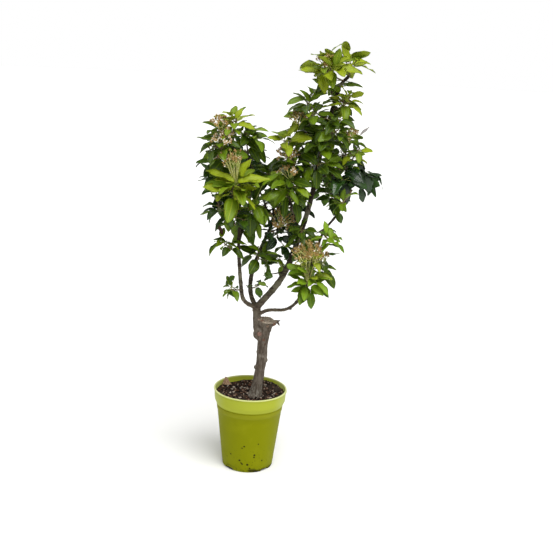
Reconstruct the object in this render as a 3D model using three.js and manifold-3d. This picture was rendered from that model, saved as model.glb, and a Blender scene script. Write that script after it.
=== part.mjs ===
// Potted dwarf pear tree: a young tree on a sawn-back stem, in a deep plastic nursery pot.
// Millimetres, +Z up, +X to the right and -Y to the front.
// The origin is the centre of the pot's flat underside.
import * as THREE from "three";
import { mergeVertices } from "three/addons/utils/BufferGeometryUtils.js";
import Module from "manifold-3d";

const wasm = await Module();
wasm.setup();

const UP = new THREE.Vector3(0, 0, 1);
const GAP = 0.3;

// The pot: a tapered wall, a band with a lip round the top and notches under the wall
const POT = {
  height: 233,
  baseRadius: 73,
  wallTopRadius: 95,
  bandRadius: 103,
  lipRadius: 105,
  lipHeight: 4,
  bandHeight: 45,
  chamferHeight: 12,
  grooveHeight: 3,
  stripHeight: 14,
  stripStep: 1,
  wall: 2.5,
  draft: 1.5,
  edge: 2,
  floor: 3,
  sides: 32,
};
const NOTCH = { count: 4, width: 30, height: 7, depth: 22, outwards: 3, firstAngle: Math.PI / 4 };

// The soil: level round the stem, and a little lower at the wall
const SOIL = { top: 217, levelRadius: 64, edgeDrop: 4 };

// The stem: a sawn stub on the right, a living leader on the left, a burl, knobs and a root flare
const STEM = {
  radius: 14.8,
  flare: 6,
  flareHeight: 12,
  flareLobes: 5,
  lobeDepth: 0.35,
  sides: 12,
  rings: 8,
  route: [[12, -26, 205], [14, -25, 217], [22, -22, 271], [28, -18, 324], [29, -14, 368], [29, -12, 398]],
};
const STUB = {
  foot: { centre: [29, -14, 366], wide: 14.4, deep: 14.4 },
  waist: { centre: [33, -11, 408], wide: 17.5, deep: 16.5 },
  top: { centre: [38, -9, 443], wide: 23, deep: 18 },
  fallRight: 0.12,
  fallFront: 0.2,
  spike: { route: [[55, -9, 433], [66, -7, 439], [75, -9, 441]], radius: 4.5, tip: 0.7, sides: 5 },
};
const LEADER = {
  rings: 6,
  radius: [14, 11],
  route: [[27, -14, 384], [14.5, -13, 412], [11, -10, 440], [9, -8, 460], [7, -7, 475]],
};
const BURL = { centre: [15, -17, 402], size: [14.5, 13, 17] };
const KNOBS = [
  { centre: [13.5, -25, 305], radius: 5 },
  { centre: [39.5, -22, 326], radius: 5.4 },
  { centre: [17, -27, 352], radius: 4 },
];

// Each bough leaves another at a share of its length, and then runs through a few places
const BOUGHS = [
  {
    name: "left_bough", from: "leader", at: 1, radius: [6.2, 3.2],
    route: [
      [-29, -20, 500], [-40, -28, 554], [-49, -38, 655], [-51, -44, 748], [-74, -42, 850], [-77, -38, 919],
    ],
  },
  {
    name: "middle_bough", from: "leader", at: 1, radius: [6.8, 3.6],
    route: [[-11, 6, 514], [-10, 18, 569], [13, 32, 640], [41, 46, 716], [41, 52, 820]],
  },
  {
    name: "main_bough", from: "leader", at: 1, radius: [9.4, 4.4],
    route: [[81, 5, 577], [138, 20, 756], [168, 30, 934], [201, 25, 1084], [227, 20, 1125]],
  },
  {
    name: "low_right_bough", from: "leader", at: 0.68, radius: [5, 4.4],
    route: [[40, -25, 475], [86, -43, 484], [114, -53, 507], [140, -66, 552]],
  },
  {
    name: "far_right_bough", from: "low_right_bough", at: 1, radius: [4.3, 2.8],
    route: [[160, -62, 639], [178, -50, 707], [214, -36, 757], [252, -20, 824]],
  },
  {
    name: "left_inner_bough", from: "left_bough", at: 0.52, radius: [3.8, 2.4],
    route: [[-38, -30, 715], [-26, -12, 771], [-22, 4, 835], [-35, 12, 907]],
  },
  {
    name: "centre_bough", from: "main_bough", at: 0.33, radius: [4.2, 2.6],
    route: [[90, 5, 768], [71, -8, 855]],
  },
  {
    name: "upper_left_bough", from: "main_bough", at: 0.494, radius: [3.8, 2.4],
    route: [[124, 8, 904], [101, -4, 956]],
  },
  {
    name: "right_side_bough", from: "main_bough", at: 0.504, radius: [3.9, 2.5],
    route: [[203, 40, 854], [241, 50, 874]],
  },
  {
    name: "rear_right_bough", from: "main_bough", at: 0.409, radius: [3.8, 2.2],
    route: [[159, 60, 813], [196, 100, 888]],
  },
  {
    name: "rear_left_bough", from: "middle_bough", at: 0.748, radius: [3.6, 2.2],
    route: [[19, 82, 754], [-23, 115, 842]],
  },
];
const BOUGH_SIDES = 7;
const BOUGH_STEP = 55;

// Leaf colours, from the sunlit young shoots to the old leaves in the shade
const TINTS = { young: 0x93a233, mid: 0x61772a, dark: 0x3f5a22, deep: 0x24381c };

// A foliage mass: its stem leaves a bough at a share of its length and ends at tip. It carries
// spurs of about the given reach, and each end holds a rosette of leaves of the given size.
// hang droops the leaves, lean turns a rosette, and truss is a count and length of dried stalks.
const MASSES = [
  {
    name: "left_top", bough: "left_bough", at: 1, tip: [-69, -36, 1001],
    spurs: 2, reach: 26, leaves: 4, size: 46, hang: 0, tint: "young", seed: 149,
  },
  {
    name: "left_top_outer", bough: "left_bough", at: 0.96, tip: [-112, -58, 975],
    spurs: 1, reach: 30, leaves: 6, size: 46, hang: 0.1, tint: "mid", seed: 126,
    truss: [3, 26],
  },
  {
    name: "left_upper_right", bough: "left_inner_bough", at: 1, tip: [-42, -5, 962],
    spurs: 1, reach: 34, leaves: 6, size: 58, hang: 0.1, tint: "mid", seed: 547,
  },
  {
    name: "left_upper_outer", bough: "left_bough", at: 0.9, tip: [-105, -70, 934],
    spurs: 1, reach: 32, leaves: 6, size: 54, hang: 0.25, tint: "mid", seed: 33,
    truss: [3, 24],
  },
  {
    name: "left_shade_top", bough: "left_inner_bough", at: 0.9, tip: [-44, 58, 910],
    spurs: 1, reach: 40, leaves: 6, size: 58, hang: 0.5, tint: "deep", seed: 252,
  },
  {
    name: "left_mid_outer", bough: "left_bough", at: 0.84, tip: [-122, -30, 889],
    spurs: 1, reach: 30, leaves: 6, size: 50, hang: 0.35, tint: "dark", seed: 117,
    truss: [3, 24],
  },
  {
    name: "left_bright", bough: "left_bough", at: 0.74, tip: [-61, -95, 831],
    spurs: 1, reach: 34, leaves: 6, size: 76, hang: 0, tint: "young", seed: 389,
    lean: [0, -0.3, 0.6], truss: [4, 60],
  },
  {
    name: "left_shade", bough: "left_bough", at: 0.76, tip: [-130, 10, 834],
    spurs: 1, reach: 30, leaves: 6, size: 54, hang: 0.4, tint: "deep", seed: 584,
  },
  {
    name: "left_inner_dark", bough: "rear_left_bough", at: 1, tip: [-52, 135, 860],
    spurs: 2, reach: 45, leaves: 5, size: 58, hang: 0.3, tint: "deep", seed: 52,
    lean: [0, 0.3, 0],
  },
  {
    name: "left_low_outer", bough: "left_bough", at: 0.64, tip: [-108, -75, 773],
    spurs: 2, reach: 36, leaves: 5, size: 52, hang: 0.5, tint: "dark", seed: 493,
  },
  {
    name: "left_hanging", bough: "left_inner_bough", at: 0.55, tip: [-10, -60, 783],
    spurs: 1, reach: 34, leaves: 5, size: 60, hang: 0.75, tint: "mid", seed: 42,
  },
  {
    name: "left_lower", bough: "left_bough", at: 0.6, tip: [-85, -10, 740],
    spurs: 1, reach: 32, leaves: 5, size: 50, hang: 0.5, tint: "mid", seed: 320,
  },
  {
    name: "left_lowest", bough: "left_bough", at: 0.47, tip: [-97, -62, 678],
    spurs: 1, reach: 30, leaves: 5, size: 42, hang: 0.5, tint: "mid", seed: 630,
  },
  {
    name: "inner_rosette", bough: "middle_bough", at: 0.5, tip: [10, -20, 631],
    spurs: 1, reach: 34, leaves: 6, size: 50, hang: 0.2, tint: "mid", seed: 517,
  },
  {
    name: "left_base", bough: "left_bough", at: 0.28, tip: [-65, -50, 538],
    spurs: 0, reach: 20, leaves: 4, size: 36, hang: 0.4, tint: "mid", seed: 245,
  },
  {
    name: "middle_base", bough: "middle_bough", at: 0.25, tip: [20, -10, 549],
    spurs: 1, reach: 24, leaves: 4, size: 32, hang: 0.4, tint: "dark", seed: 256,
  },
  {
    name: "rear_left_low", bough: "rear_left_bough", at: 0.5, tip: [-18, 140, 722],
    spurs: 2, reach: 44, leaves: 5, size: 56, hang: 0.4, tint: "dark", seed: 80,
    lean: [0, 0.3, 0],
  },
  {
    name: "centre_arc", bough: "middle_bough", at: 1, tip: [36, 10, 848],
    spurs: 1, reach: 40, leaves: 6, size: 62, hang: 0.1, tint: "mid", seed: 101,
    lean: [0, -0.2, 0],
  },
  {
    name: "centre_mid", bough: "centre_bough", at: 1, tip: [82, -50, 845],
    spurs: 1, reach: 40, leaves: 6, size: 62, hang: 0.15, tint: "mid", seed: 350,
    lean: [0, -0.3, 0],
  },
  {
    name: "centre_flower", bough: "upper_left_bough", at: 0.6, tip: [71, -20, 897],
    spurs: 1, reach: 34, leaves: 6, size: 56, hang: 0.1, tint: "mid", seed: 24,
    truss: [3, 28],
  },
  {
    name: "centre_yellow", bough: "upper_left_bough", at: 1, tip: [60, -45, 950],
    spurs: 0, reach: 30, leaves: 6, size: 52, hang: 0, tint: "young", seed: 422,
  },
  {
    name: "centre_upper", bough: "upper_left_bough", at: 0.88, tip: [96, -20, 994],
    spurs: 0, reach: 24, leaves: 6, size: 46, hang: 0, tint: "mid", seed: 257,
    truss: [3, 22],
  },
  {
    name: "centre_dark", bough: "centre_bough", at: 0.5, tip: [81, 60, 755],
    spurs: 2, reach: 40, leaves: 5, size: 58, hang: 0.5, tint: "deep", seed: 452,
  },
  {
    name: "centre_low", bough: "middle_bough", at: 0.72, tip: [62, 0, 709],
    spurs: 1, reach: 34, leaves: 5, size: 44, hang: 0.4, tint: "deep", seed: 174,
    truss: [3, 30],
  },
  {
    name: "centre_right_low", bough: "main_bough", at: 0.3, tip: [124, -40, 711],
    spurs: 1, reach: 30, leaves: 5, size: 46, hang: 0.3, tint: "mid", seed: 101,
  },
  {
    name: "centre_lowest", bough: "main_bough", at: 0.21, tip: [68, 40, 608],
    spurs: 1, reach: 34, leaves: 5, size: 42, hang: 0.3, tint: "mid", seed: 174,
  },
  {
    name: "top", bough: "main_bough", at: 1, tip: [230, 18, 1151],
    spurs: 1, reach: 34, leaves: 6, size: 58, hang: 0.05, tint: "young", seed: 203,
  },
  {
    name: "top_left", bough: "main_bough", at: 0.9, tip: [159, -20, 1143],
    spurs: 1, reach: 40, leaves: 6, size: 62, hang: 0.1, tint: "young", seed: 146,
    truss: [3, 26],
  },
  {
    name: "upper_inner", bough: "main_bough", at: 0.74, tip: [185, 70, 1083],
    spurs: 1, reach: 40, leaves: 6, size: 58, hang: 0.2, tint: "mid", seed: 252,
  },
  {
    name: "upper_left", bough: "main_bough", at: 0.68, tip: [116, -25, 1053],
    spurs: 1, reach: 34, leaves: 6, size: 56, hang: 0.15, tint: "mid", seed: 331,
  },
  {
    name: "upper_right", bough: "main_bough", at: 0.72, tip: [229, -10, 1058],
    spurs: 1, reach: 30, leaves: 6, size: 50, hang: 0.1, tint: "young", seed: 90,
  },
  {
    name: "right_upper", bough: "main_bough", at: 0.66, tip: [197, -50, 1015],
    spurs: 1, reach: 36, leaves: 6, size: 58, hang: 0.25, tint: "mid", seed: 96,
  },
  {
    name: "right_left", bough: "main_bough", at: 0.6, tip: [124, 25, 1000],
    spurs: 2, reach: 36, leaves: 5, size: 54, hang: 0.15, tint: "mid", seed: 645,
  },
  {
    name: "right_mid", bough: "main_bough", at: 0.53, tip: [159, -45, 949],
    spurs: 1, reach: 40, leaves: 6, size: 60, hang: 0.3, tint: "mid", seed: 682,
  },
  {
    name: "rear_upper", bough: "rear_right_bough", at: 1, tip: [170, 120, 961],
    spurs: 2, reach: 46, leaves: 5, size: 58, hang: 0.25, tint: "mid", seed: 214,
    lean: [0, 0.3, 0],
  },
  {
    name: "rear_mid", bough: "rear_right_bough", at: 0.8, tip: [147, 135, 872],
    spurs: 1, reach: 42, leaves: 6, size: 56, hang: 0.4, tint: "dark", seed: 481,
    lean: [0, 0.3, 0],
  },
  {
    name: "right_outer", bough: "right_side_bough", at: 0.66, tip: [241, 20, 955],
    spurs: 1, reach: 34, leaves: 6, size: 52, hang: 0.15, tint: "mid", seed: 434,
    truss: [3, 24],
  },
  {
    name: "right_bright", bough: "right_side_bough", at: 0.86, tip: [261, -20, 933],
    spurs: 0, reach: 30, leaves: 6, size: 42, hang: 0.1, tint: "young", seed: 253,
  },
  {
    name: "right_dark", bough: "right_side_bough", at: 0.5, tip: [217, -5, 880],
    spurs: 1, reach: 44, leaves: 6, size: 70, hang: 0.3, tint: "deep", seed: 199,
  },
  {
    name: "right_dark_outer", bough: "right_side_bough", at: 1, tip: [282, 75, 844],
    spurs: 1, reach: 40, leaves: 6, size: 68, hang: 0.45, tint: "deep", seed: 556,
  },
  {
    name: "right_low_inner", bough: "rear_right_bough", at: 0.5, tip: [193, 95, 797],
    spurs: 1, reach: 40, leaves: 6, size: 54, hang: 0.4, tint: "dark", seed: 471,
    lean: [0, 0.2, 0],
  },
  {
    name: "right_low", bough: "far_right_bough", at: 1, tip: [224, -55, 793],
    spurs: 1, reach: 34, leaves: 6, size: 46, hang: 0.3, tint: "mid", seed: 587,
  },
  {
    name: "low_bright", bough: "far_right_bough", at: 0.04, tip: [143, -95, 577],
    spurs: 1, reach: 34, leaves: 6, size: 56, hang: 0.15, tint: "young", seed: 240,
    lean: [0, -0.3, 0],
  },
  {
    name: "low_bright_right", bough: "far_right_bough", at: 0.3, tip: [181, -55, 611],
    spurs: 1, reach: 36, leaves: 6, size: 50, hang: 0.2, tint: "mid", seed: 429,
    truss: [3, 50],
  },
  {
    name: "low_truss", bough: "far_right_bough", at: 0.12, tip: [150, -90, 640],
    spurs: 0, reach: 24, leaves: 4, size: 36, hang: 0.1, tint: "young", seed: 507,
    truss: [7, 52],
  },
  {
    name: "low_upper", bough: "far_right_bough", at: 0.5, tip: [204, -90, 689],
    spurs: 1, reach: 26, leaves: 4, size: 40, hang: 0.2, tint: "young", seed: 119,
  },
];

// Twigs, spurs and dried stalks: radii, and the length of twig between two rings
const TWIG = { foot: 2.2, tip: 2.6, step: 35, sides: 3, dip: 0.12, lastBendAt: 0.9 };
const SPUR = {
  foot: 1.8,
  first: 0.35,
  span: 0.6,
  within: [0.2, 0.8],
  spread: [45, 80],
  long: [0.6, 1.15],
  lift: 0.35,
  sag: 0.8,
  tangentStep: 0.02,
  looksAt: [0.6, 1],
  cellSteps: 4,
};
const STALKS = {
  thin: 0.7,
  club: 2.4,
  first: 8,
  fan: 50,
  wander: 0.3,
  long: [0.8, 1.1],
  cellSteps: 4,
  seedStep: 5000,
};

// A rosette: its outer leaves lean by lowest degrees off its axis, and the inner ones by less.
// All lie more level than that, and in a hanging mass the outer ones droop the most.
const ROSETTE = {
  lowest: 96,
  rise: 60,
  wander: 16,
  turn: 0.35,
  pitch: 1.8,
  tries: 8,
  upright: 0.9,
  level: 0.65,
  lift: 0.08,
  droop: 1.3,
};
const GOLDEN_ANGLE = THREE.MathUtils.degToRad(137.508);

// A leaf: lengths are shares of its mass's leaf size, and its width is a share of its length
const LEAF = {
  stalk: [0.18, 0.32],
  long: [0.92, 1.22],
  innerShorter: 0.3,
  wide: [0.46, 0.6],
  roll: [-0.6, 0.6],
  curl: [0.15, 1],
  facing: 0.8,
  fold: 0.05,
  widestAt: 0.42,
  keel: 0.7,
  stalkRadius: 0.7,
  stalkLooksAt: 0.7,
  stalkCells: [0.4, 0.8],
};
const LEAF_RINGS = { root: 0, base: 1, widest: 2, tip: 3 };

// Space is kept in small cubes, and a leaf is looked up in rows and columns of places on it
const CELL = 5;
const GRID = 1024;
const LEAF_ROWS = 9;
const ROW_START = 0.7;
const ROW_SPAN = 9.2;
const LEAF_INNER_ROWS = 2;
const LEAF_COLUMNS = [-1, -0.5, 0, 0.5, 1];
const ROOM = 1.45;
const LIMB_CHECKS = 100;
const SMALLEST_DETAIL = 0.2;
const SEAM = 1e-4;

// A curve through the given places
function smooth(places) {
  const points = places.map((place) => new THREE.Vector3(...place));
  return new THREE.CatmullRomCurve3(points, false, "catmullrom", 0.5);
}

// A closed solid from a geometry whose seams are merged
function solid(geometry) {
  geometry.deleteAttribute("normal");
  geometry.deleteAttribute("uv");
  const merged = mergeVertices(geometry, SEAM);
  return new wasm.Manifold(new wasm.Mesh({
    numProp: 3,
    vertProperties: new Float32Array(merged.attributes.position.array),
    triVerts: new Uint32Array(merged.index.array),
  }));
}

// Moves each corner of an upright cylinder to place(ring, share, across, along)
function reshape(sides, rings, place, topRadius = 1) {
  const geometry = new THREE.CylinderGeometry(topRadius, 1, 1, sides, rings);
  const corners = geometry.attributes.position;
  for (let i = 0; i < corners.count; i += 1) {
    const share = corners.getY(i) + 0.5;
    const ring = Math.round(share * rings);
    const corner = place(ring, share, corners.getX(i), corners.getZ(i));
    corners.setXYZ(i, corner.x, corner.y, corner.z);
  }
  return solid(geometry);
}

// A round limb along a curve, with its radius from radiusAt(share, angle), grown all over by extra
function limb(curve, sides, rings, radiusAt, extra = 0) {
  const frames = curve.computeFrenetFrames(rings);
  const growth = extra / Math.cos(Math.PI / sides);
  return reshape(sides, rings, (ring, share, across, along) => {
    const radius = radiusAt(share, Math.atan2(across, along)) + growth;
    const overrun = (share === 1 ? extra : 0) - (share === 0 ? extra : 0);
    return curve.getPointAt(share)
      .addScaledVector(frames.binormals[ring], across * radius)
      .addScaledVector(frames.normals[ring], along * radius)
      .addScaledVector(frames.tangents[ring], overrun);
  });
}

function taper([foot, tip]) {
  return (share) => foot + (tip - foot) * share;
}

function ball(centre, size, detail) {
  const geometry = new THREE.IcosahedronGeometry(1, detail);
  geometry.scale(...size);
  geometry.translate(...centre);
  return solid(geometry);
}

// A turned solid from pairs of radius and height
function turned(profile) {
  const outline = profile.map(([radius, height]) => new THREE.Vector2(radius, height));
  const geometry = new THREE.LatheGeometry(outline, POT.sides);
  geometry.rotateX(Math.PI / 2);
  return solid(geometry);
}

// The largest body of a solid, without loose scraps or sealed hollows
function wholeBody(shape) {
  const bodies = shape.decompose();
  return bodies.reduce((best, body) => (body.volume() > best.volume() ? body : best));
}

function material(name, colour, roughness) {
  return new THREE.MeshStandardMaterial({ name, color: colour, roughness, metalness: 0 });
}

// A named mesh of a solid, with its place taken out of its corners
function part(name, shape, place, finish) {
  const { vertProperties, triVerts } = shape.getMesh();
  const geometry = new THREE.BufferGeometry();
  geometry.setAttribute("position", new THREE.BufferAttribute(new Float32Array(vertProperties), 3));
  geometry.setIndex(new THREE.BufferAttribute(new Uint32Array(triVerts), 1));
  geometry.translate(-place.x, -place.y, -place.z);
  const mesh = new THREE.Mesh(geometry, finish);
  mesh.name = name;
  mesh.position.copy(place);
  return mesh;
}

function wallRadius(height) {
  return POT.baseRadius + (POT.wallTopRadius - POT.baseRadius) * height / (POT.height - POT.bandHeight);
}

// The pot: a turned wall with notches cut under it, where water drains
function makePot() {
  const { height, wall, floor, lipRadius, lipHeight, bandRadius, edge } = POT;
  const bandFoot = height - POT.bandHeight;
  const chamferTop = bandFoot + POT.chamferHeight;
  const groove = bandFoot - POT.grooveHeight;
  const strip = groove - POT.stripHeight;
  let pot = turned([
    [0, 0],
    [wallRadius(0) - edge, 0],
    [wallRadius(edge), edge],
    [wallRadius(strip), strip],
    [wallRadius(strip) + POT.stripStep, strip + POT.stripStep],
    [wallRadius(groove) + POT.stripStep, groove],
    [wallRadius(bandFoot), bandFoot],
    [bandRadius - POT.draft, chamferTop],
    [bandRadius, height - lipHeight - edge],
    [lipRadius, height - lipHeight],
    [lipRadius, height - edge / 2],
    [lipRadius - edge / 2, height],
    [bandRadius - wall, height],
    [bandRadius - POT.draft - wall, chamferTop],
    [wallRadius(bandFoot) - wall, bandFoot],
    [wallRadius(floor) - wall, floor],
    [0, floor],
  ]);
  for (let i = 0; i < NOTCH.count; i += 1) {
    const notch = new THREE.BoxGeometry(NOTCH.depth * 2, NOTCH.width, NOTCH.height * 2);
    notch.translate(POT.baseRadius + NOTCH.outwards, 0, 0);
    notch.rotateZ(NOTCH.firstAngle + i * 2 * Math.PI / NOTCH.count);
    pot = pot.subtract(solid(notch));
  }
  return pot;
}

// The soil: it fills the pot, clear of the wall, and dips towards it
function makeSoil() {
  const clearance = POT.wall + 2 * GAP;
  const bandFoot = POT.height - POT.bandHeight;
  const bandInside = POT.bandRadius - POT.draft - clearance;
  const foot = POT.floor + GAP;
  return turned([
    [0, foot],
    [wallRadius(foot) - clearance, foot],
    [wallRadius(bandFoot) - clearance, bandFoot],
    [bandInside, bandFoot + POT.chamferHeight + POT.draft],
    [bandInside, SOIL.top - SOIL.edgeDrop],
    [SOIL.levelRadius, SOIL.top],
    [0, SOIL.top],
  ]);
}

// The stub's outline: an oval that widens upwards, cut off by a sloping saw cut
function makeStub(extra) {
  const levels = [STUB.foot, STUB.waist, STUB.top];
  return reshape(STEM.sides, levels.length - 1, (ring, share, across, along) => {
    const { centre, wide, deep } = levels[ring];
    const right = across * (wide + extra);
    const back = -along * (deep + extra);
    const slope = ring === levels.length - 1 ? back * STUB.fallFront - right * STUB.fallRight + extra : 0;
    return new THREE.Vector3(centre[0] + right, centre[1] + back, centre[2] + slope);
  });
}

// The stem from its root flare to the fork, grown all over by extra where it cuts a bough
function makeStem(extra = 0) {
  const curve = smooth(STEM.route);
  const sunk = SOIL.top - STEM.route[0][2];
  const flare = (share, angle) => {
    const height = Math.max(share * curve.getLength() - sunk, 0);
    const swell = STEM.flare * Math.exp(-height / STEM.flareHeight);
    return STEM.radius + swell * (1 + STEM.lobeDepth * Math.cos(STEM.flareLobes * angle));
  };
  const { route, radius, tip, sides } = STUB.spike;
  const shapes = [
    limb(curve, STEM.sides, STEM.rings, flare, extra),
    limb(LIMBS.leader.curve, STEM.sides, LEADER.rings, taper(LEADER.radius), extra),
    makeStub(extra),
    ball(BURL.centre, BURL.size.map((size) => size + extra), 1),
    limb(smooth(route), sides, route.length - 1, taper([radius, tip]), extra),
  ];
  for (const knob of KNOBS) {
    shapes.push(ball(knob.centre, Array(3).fill(knob.radius + extra), 0));
  }
  const below = new THREE.BoxGeometry(POT.lipRadius, POT.lipRadius, SOIL.top);
  below.translate(0, 0, SOIL.top / 2 + GAP - extra);
  return wasm.Manifold.union(shapes).subtract(solid(below));
}

// Boughs: each starts inside its parent, and is cut off clear of it and of its neighbours there
const LIMBS = { leader: { curve: smooth(LEADER.route), radius: LEADER.radius } };
for (const bough of BOUGHS) {
  const start = LIMBS[bough.from].curve.getPoint(bough.at).toArray();
  LIMBS[bough.name] = { ...bough, curve: smooth([start, ...bough.route]) };
}

function boughSolid({ curve, radius }, extra = 0) {
  const rings = Math.max(3, Math.round(curve.getLength() / BOUGH_STEP));
  return limb(curve, BOUGH_SIDES, rings, taper(radius), extra);
}

// The thickest bough of a fork keeps its foot, and the others are cut clear of it
function makeBoughs() {
  const order = [...BOUGHS].sort((one, other) => other.radius[0] - one.radius[0]);
  const swollen = { leader: makeStem(GAP) };
  const made = {};
  for (const { name } of order) {
    swollen[name] = boughSolid(LIMBS[name], GAP);
  }
  order.forEach(({ name, from }, index) => {
    const thicker = order.slice(0, index).filter((other) => other.from === from);
    const cutters = [swollen[from], ...thicker.map((other) => swollen[other.name])];
    const shape = cutters.reduce((rest, cutter) => rest.subtract(cutter), boughSolid(LIMBS[name]));
    made[name] = wholeBody(shape);
  });
  return { made, swollen };
}

// Numbers from 0 to 1, always the same for the same seed
class Draw {
  constructor(seed) {
    this.state = seed * 7919 + 12345;
    this.next();
    this.next();
  }

  next() {
    this.state = (this.state * 1664525 + 1013904223) % 4294967296;
    return this.state / 4294967296;
  }

  between(low, high) {
    return low + (high - low) * this.next();
  }
}

// A cube of space has one number, and these steps lead to all the cubes that touch it
const STEPS = [-1, 0, 1];
const AROUND = STEPS.flatMap((x) => STEPS.flatMap((y) => STEPS.map((z) => (x * GRID + y) * GRID + z)));

function around(cell) {
  return AROUND.map((step) => cell + step);
}

// Who holds each small cube of space: a mass by its number, or nobody else once it is shared
const SHARED = -1;
class Space {
  constructor() {
    this.holders = new Map();
  }

  static cell(point) {
    const [x, y, z] = point.toArray().map((value) => Math.floor(value / CELL) + GRID / 2);
    return (x * GRID + y) * GRID + z;
  }

  free(cells, holder) {
    return cells.every((cell) => (this.holders.get(cell) ?? holder) === holder);
  }

  // Holds the cubes given and all that touch them
  hold(cells, holder) {
    for (const near of cells.flatMap(around)) {
      const now = this.holders.get(near);
      this.holders.set(near, now === undefined || now === holder ? holder : SHARED);
    }
  }
}

// The direction at an angle polar from an axis, turned by azimuth about it
function lean(axis, polar, azimuth) {
  const level = Math.abs(axis.z) < 0.9 ? UP : new THREE.Vector3(1, 0, 0);
  const aside = new THREE.Vector3().crossVectors(axis, level).normalize();
  const third = new THREE.Vector3().crossVectors(axis, aside);
  return axis.clone().multiplyScalar(Math.cos(polar))
    .addScaledVector(aside, Math.cos(azimuth) * Math.sin(polar))
    .addScaledVector(third, Math.sin(azimuth) * Math.sin(polar));
}

// Half the width of a blade at a share of its length, against the greatest
function bladeOutline(share) {
  return share <= 0 || share >= 1 ? 0 : 2.6 * Math.pow(share, 0.6) * Math.pow(1 - share, 0.8);
}

// A place on a blade: share along it, across from -1 to 1
function blade(leaf, share, across) {
  const half = 0.5 * leaf.wide * bladeOutline(share) * across;
  const ahead = Math.sin(leaf.curl * share) / leaf.curl;
  const drop = (1 - Math.cos(leaf.curl * share)) / leaf.curl;
  return leaf.base.clone()
    .addScaledVector(leaf.heading, leaf.long * ahead)
    .addScaledVector(leaf.normal, LEAF.fold * Math.abs(half) - leaf.long * drop)
    .addScaledVector(leaf.side, half);
}

function bladeCells(leaf) {
  const cells = [];
  for (let row = 0; row < LEAF_ROWS; row += 1) {
    for (const across of LEAF_COLUMNS) {
      cells.push(Space.cell(blade(leaf, (row + ROW_START) / ROW_SPAN, across)));
    }
  }
  return cells;
}

// Draws one leaf of a rosette: share runs from the lowest leaf to the one at the top
function drawLeaf(mass, axis, root, share, turn, draw) {
  const { size, hang } = mass;
  const polar = ROSETTE.lowest - ROSETTE.rise * share + draw.between(-ROSETTE.wander, ROSETTE.wander);
  const azimuth = turn + draw.between(-ROSETTE.turn, ROSETTE.turn);
  const heading = lean(axis, THREE.MathUtils.degToRad(polar), azimuth);
  heading.z = ROSETTE.level * heading.z + ROSETTE.lift - hang * (ROSETTE.droop - share);
  heading.normalize();
  const stalk = size * draw.between(...LEAF.stalk);
  const long = size * draw.between(...LEAF.long) * (1 - LEAF.innerShorter * share);
  const wide = long * draw.between(...LEAF.wide);
  const roll = draw.between(...LEAF.roll);
  const curl = draw.between(...LEAF.curl);
  const up = UP.clone().addScaledVector(axis, LEAF.facing);
  const level = up.clone().addScaledVector(heading, -heading.dot(up)).normalize();
  const aside = new THREE.Vector3().crossVectors(heading, level);
  const normal = level.multiplyScalar(Math.cos(roll)).addScaledVector(aside, Math.sin(roll));
  const side = new THREE.Vector3().crossVectors(heading, normal);
  const base = root.clone().addScaledVector(heading, stalk);
  return { heading, normal, side, long, wide, curl, root, base };
}

// Whether a leaf stays within its mass's reach and finds its cubes free, which are then its own
function settle(leaf, mass, number, space, own) {
  const furthest = mass.reach + ROOM * mass.size;
  const onStalk = Space.cell(leaf.root.clone().lerp(leaf.base, LEAF.stalkLooksAt));
  if (blade(leaf, 1, 0).distanceTo(mass.end) > furthest || !space.free([onStalk], number)) {
    return false;
  }
  leaf.cells = bladeCells(leaf);
  const outer = leaf.cells.slice(LEAF_INNER_ROWS * LEAF_COLUMNS.length);
  const met = leaf.cells.some((cell) => own.leaves.has(cell)) || outer.some((cell) => own.margin.has(cell));
  if (met || !space.free(leaf.cells, number)) {
    return false;
  }
  leaf.cells.forEach((cell) => own.leaves.add(cell));
  outer.flatMap(around).forEach((cell) => own.margin.add(cell));
  return true;
}

// A rosette: the outer leaves lie low and the inner ones stand up, each where there is room
function growRosette(mass, number, end, draw, space, own) {
  const leaves = [];
  const axis = end.heading.clone().add(new THREE.Vector3(...(mass.lean ?? [0, 0, 0])));
  axis.z += ROSETTE.upright;
  axis.normalize();
  const phase = draw.between(0, 2 * Math.PI);
  for (let i = 0; i < mass.leaves; i += 1) {
    const share = (i + 0.5) / mass.leaves;
    const root = end.tip.clone().addScaledVector(end.heading, -ROSETTE.pitch * (mass.leaves - i));
    for (let attempt = 0; attempt < ROSETTE.tries; attempt += 1) {
      const leaf = drawLeaf(mass, axis, root, share, phase + i * GOLDEN_ANGLE, draw);
      if (settle(leaf, mass, number, space, own)) {
        leaves.push(leaf);
        break;
      }
    }
  }
  return leaves;
}

// The stem of a mass bows down between its bough and its end
function stemCurve(mass) {
  const start = LIMBS[mass.bough].curve.getPoint(mass.at);
  const end = new THREE.Vector3(...mass.tip);
  const knee = start.clone().lerp(end, 0.5);
  knee.z -= TWIG.dip * start.distanceTo(end);
  return new THREE.QuadraticBezierCurve3(start, knee, end);
}

function cellsAlong(from, to, count) {
  return Array.from({ length: count + 1 }, (_, i) => Space.cell(from.clone().lerp(to, i / count)));
}

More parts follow.
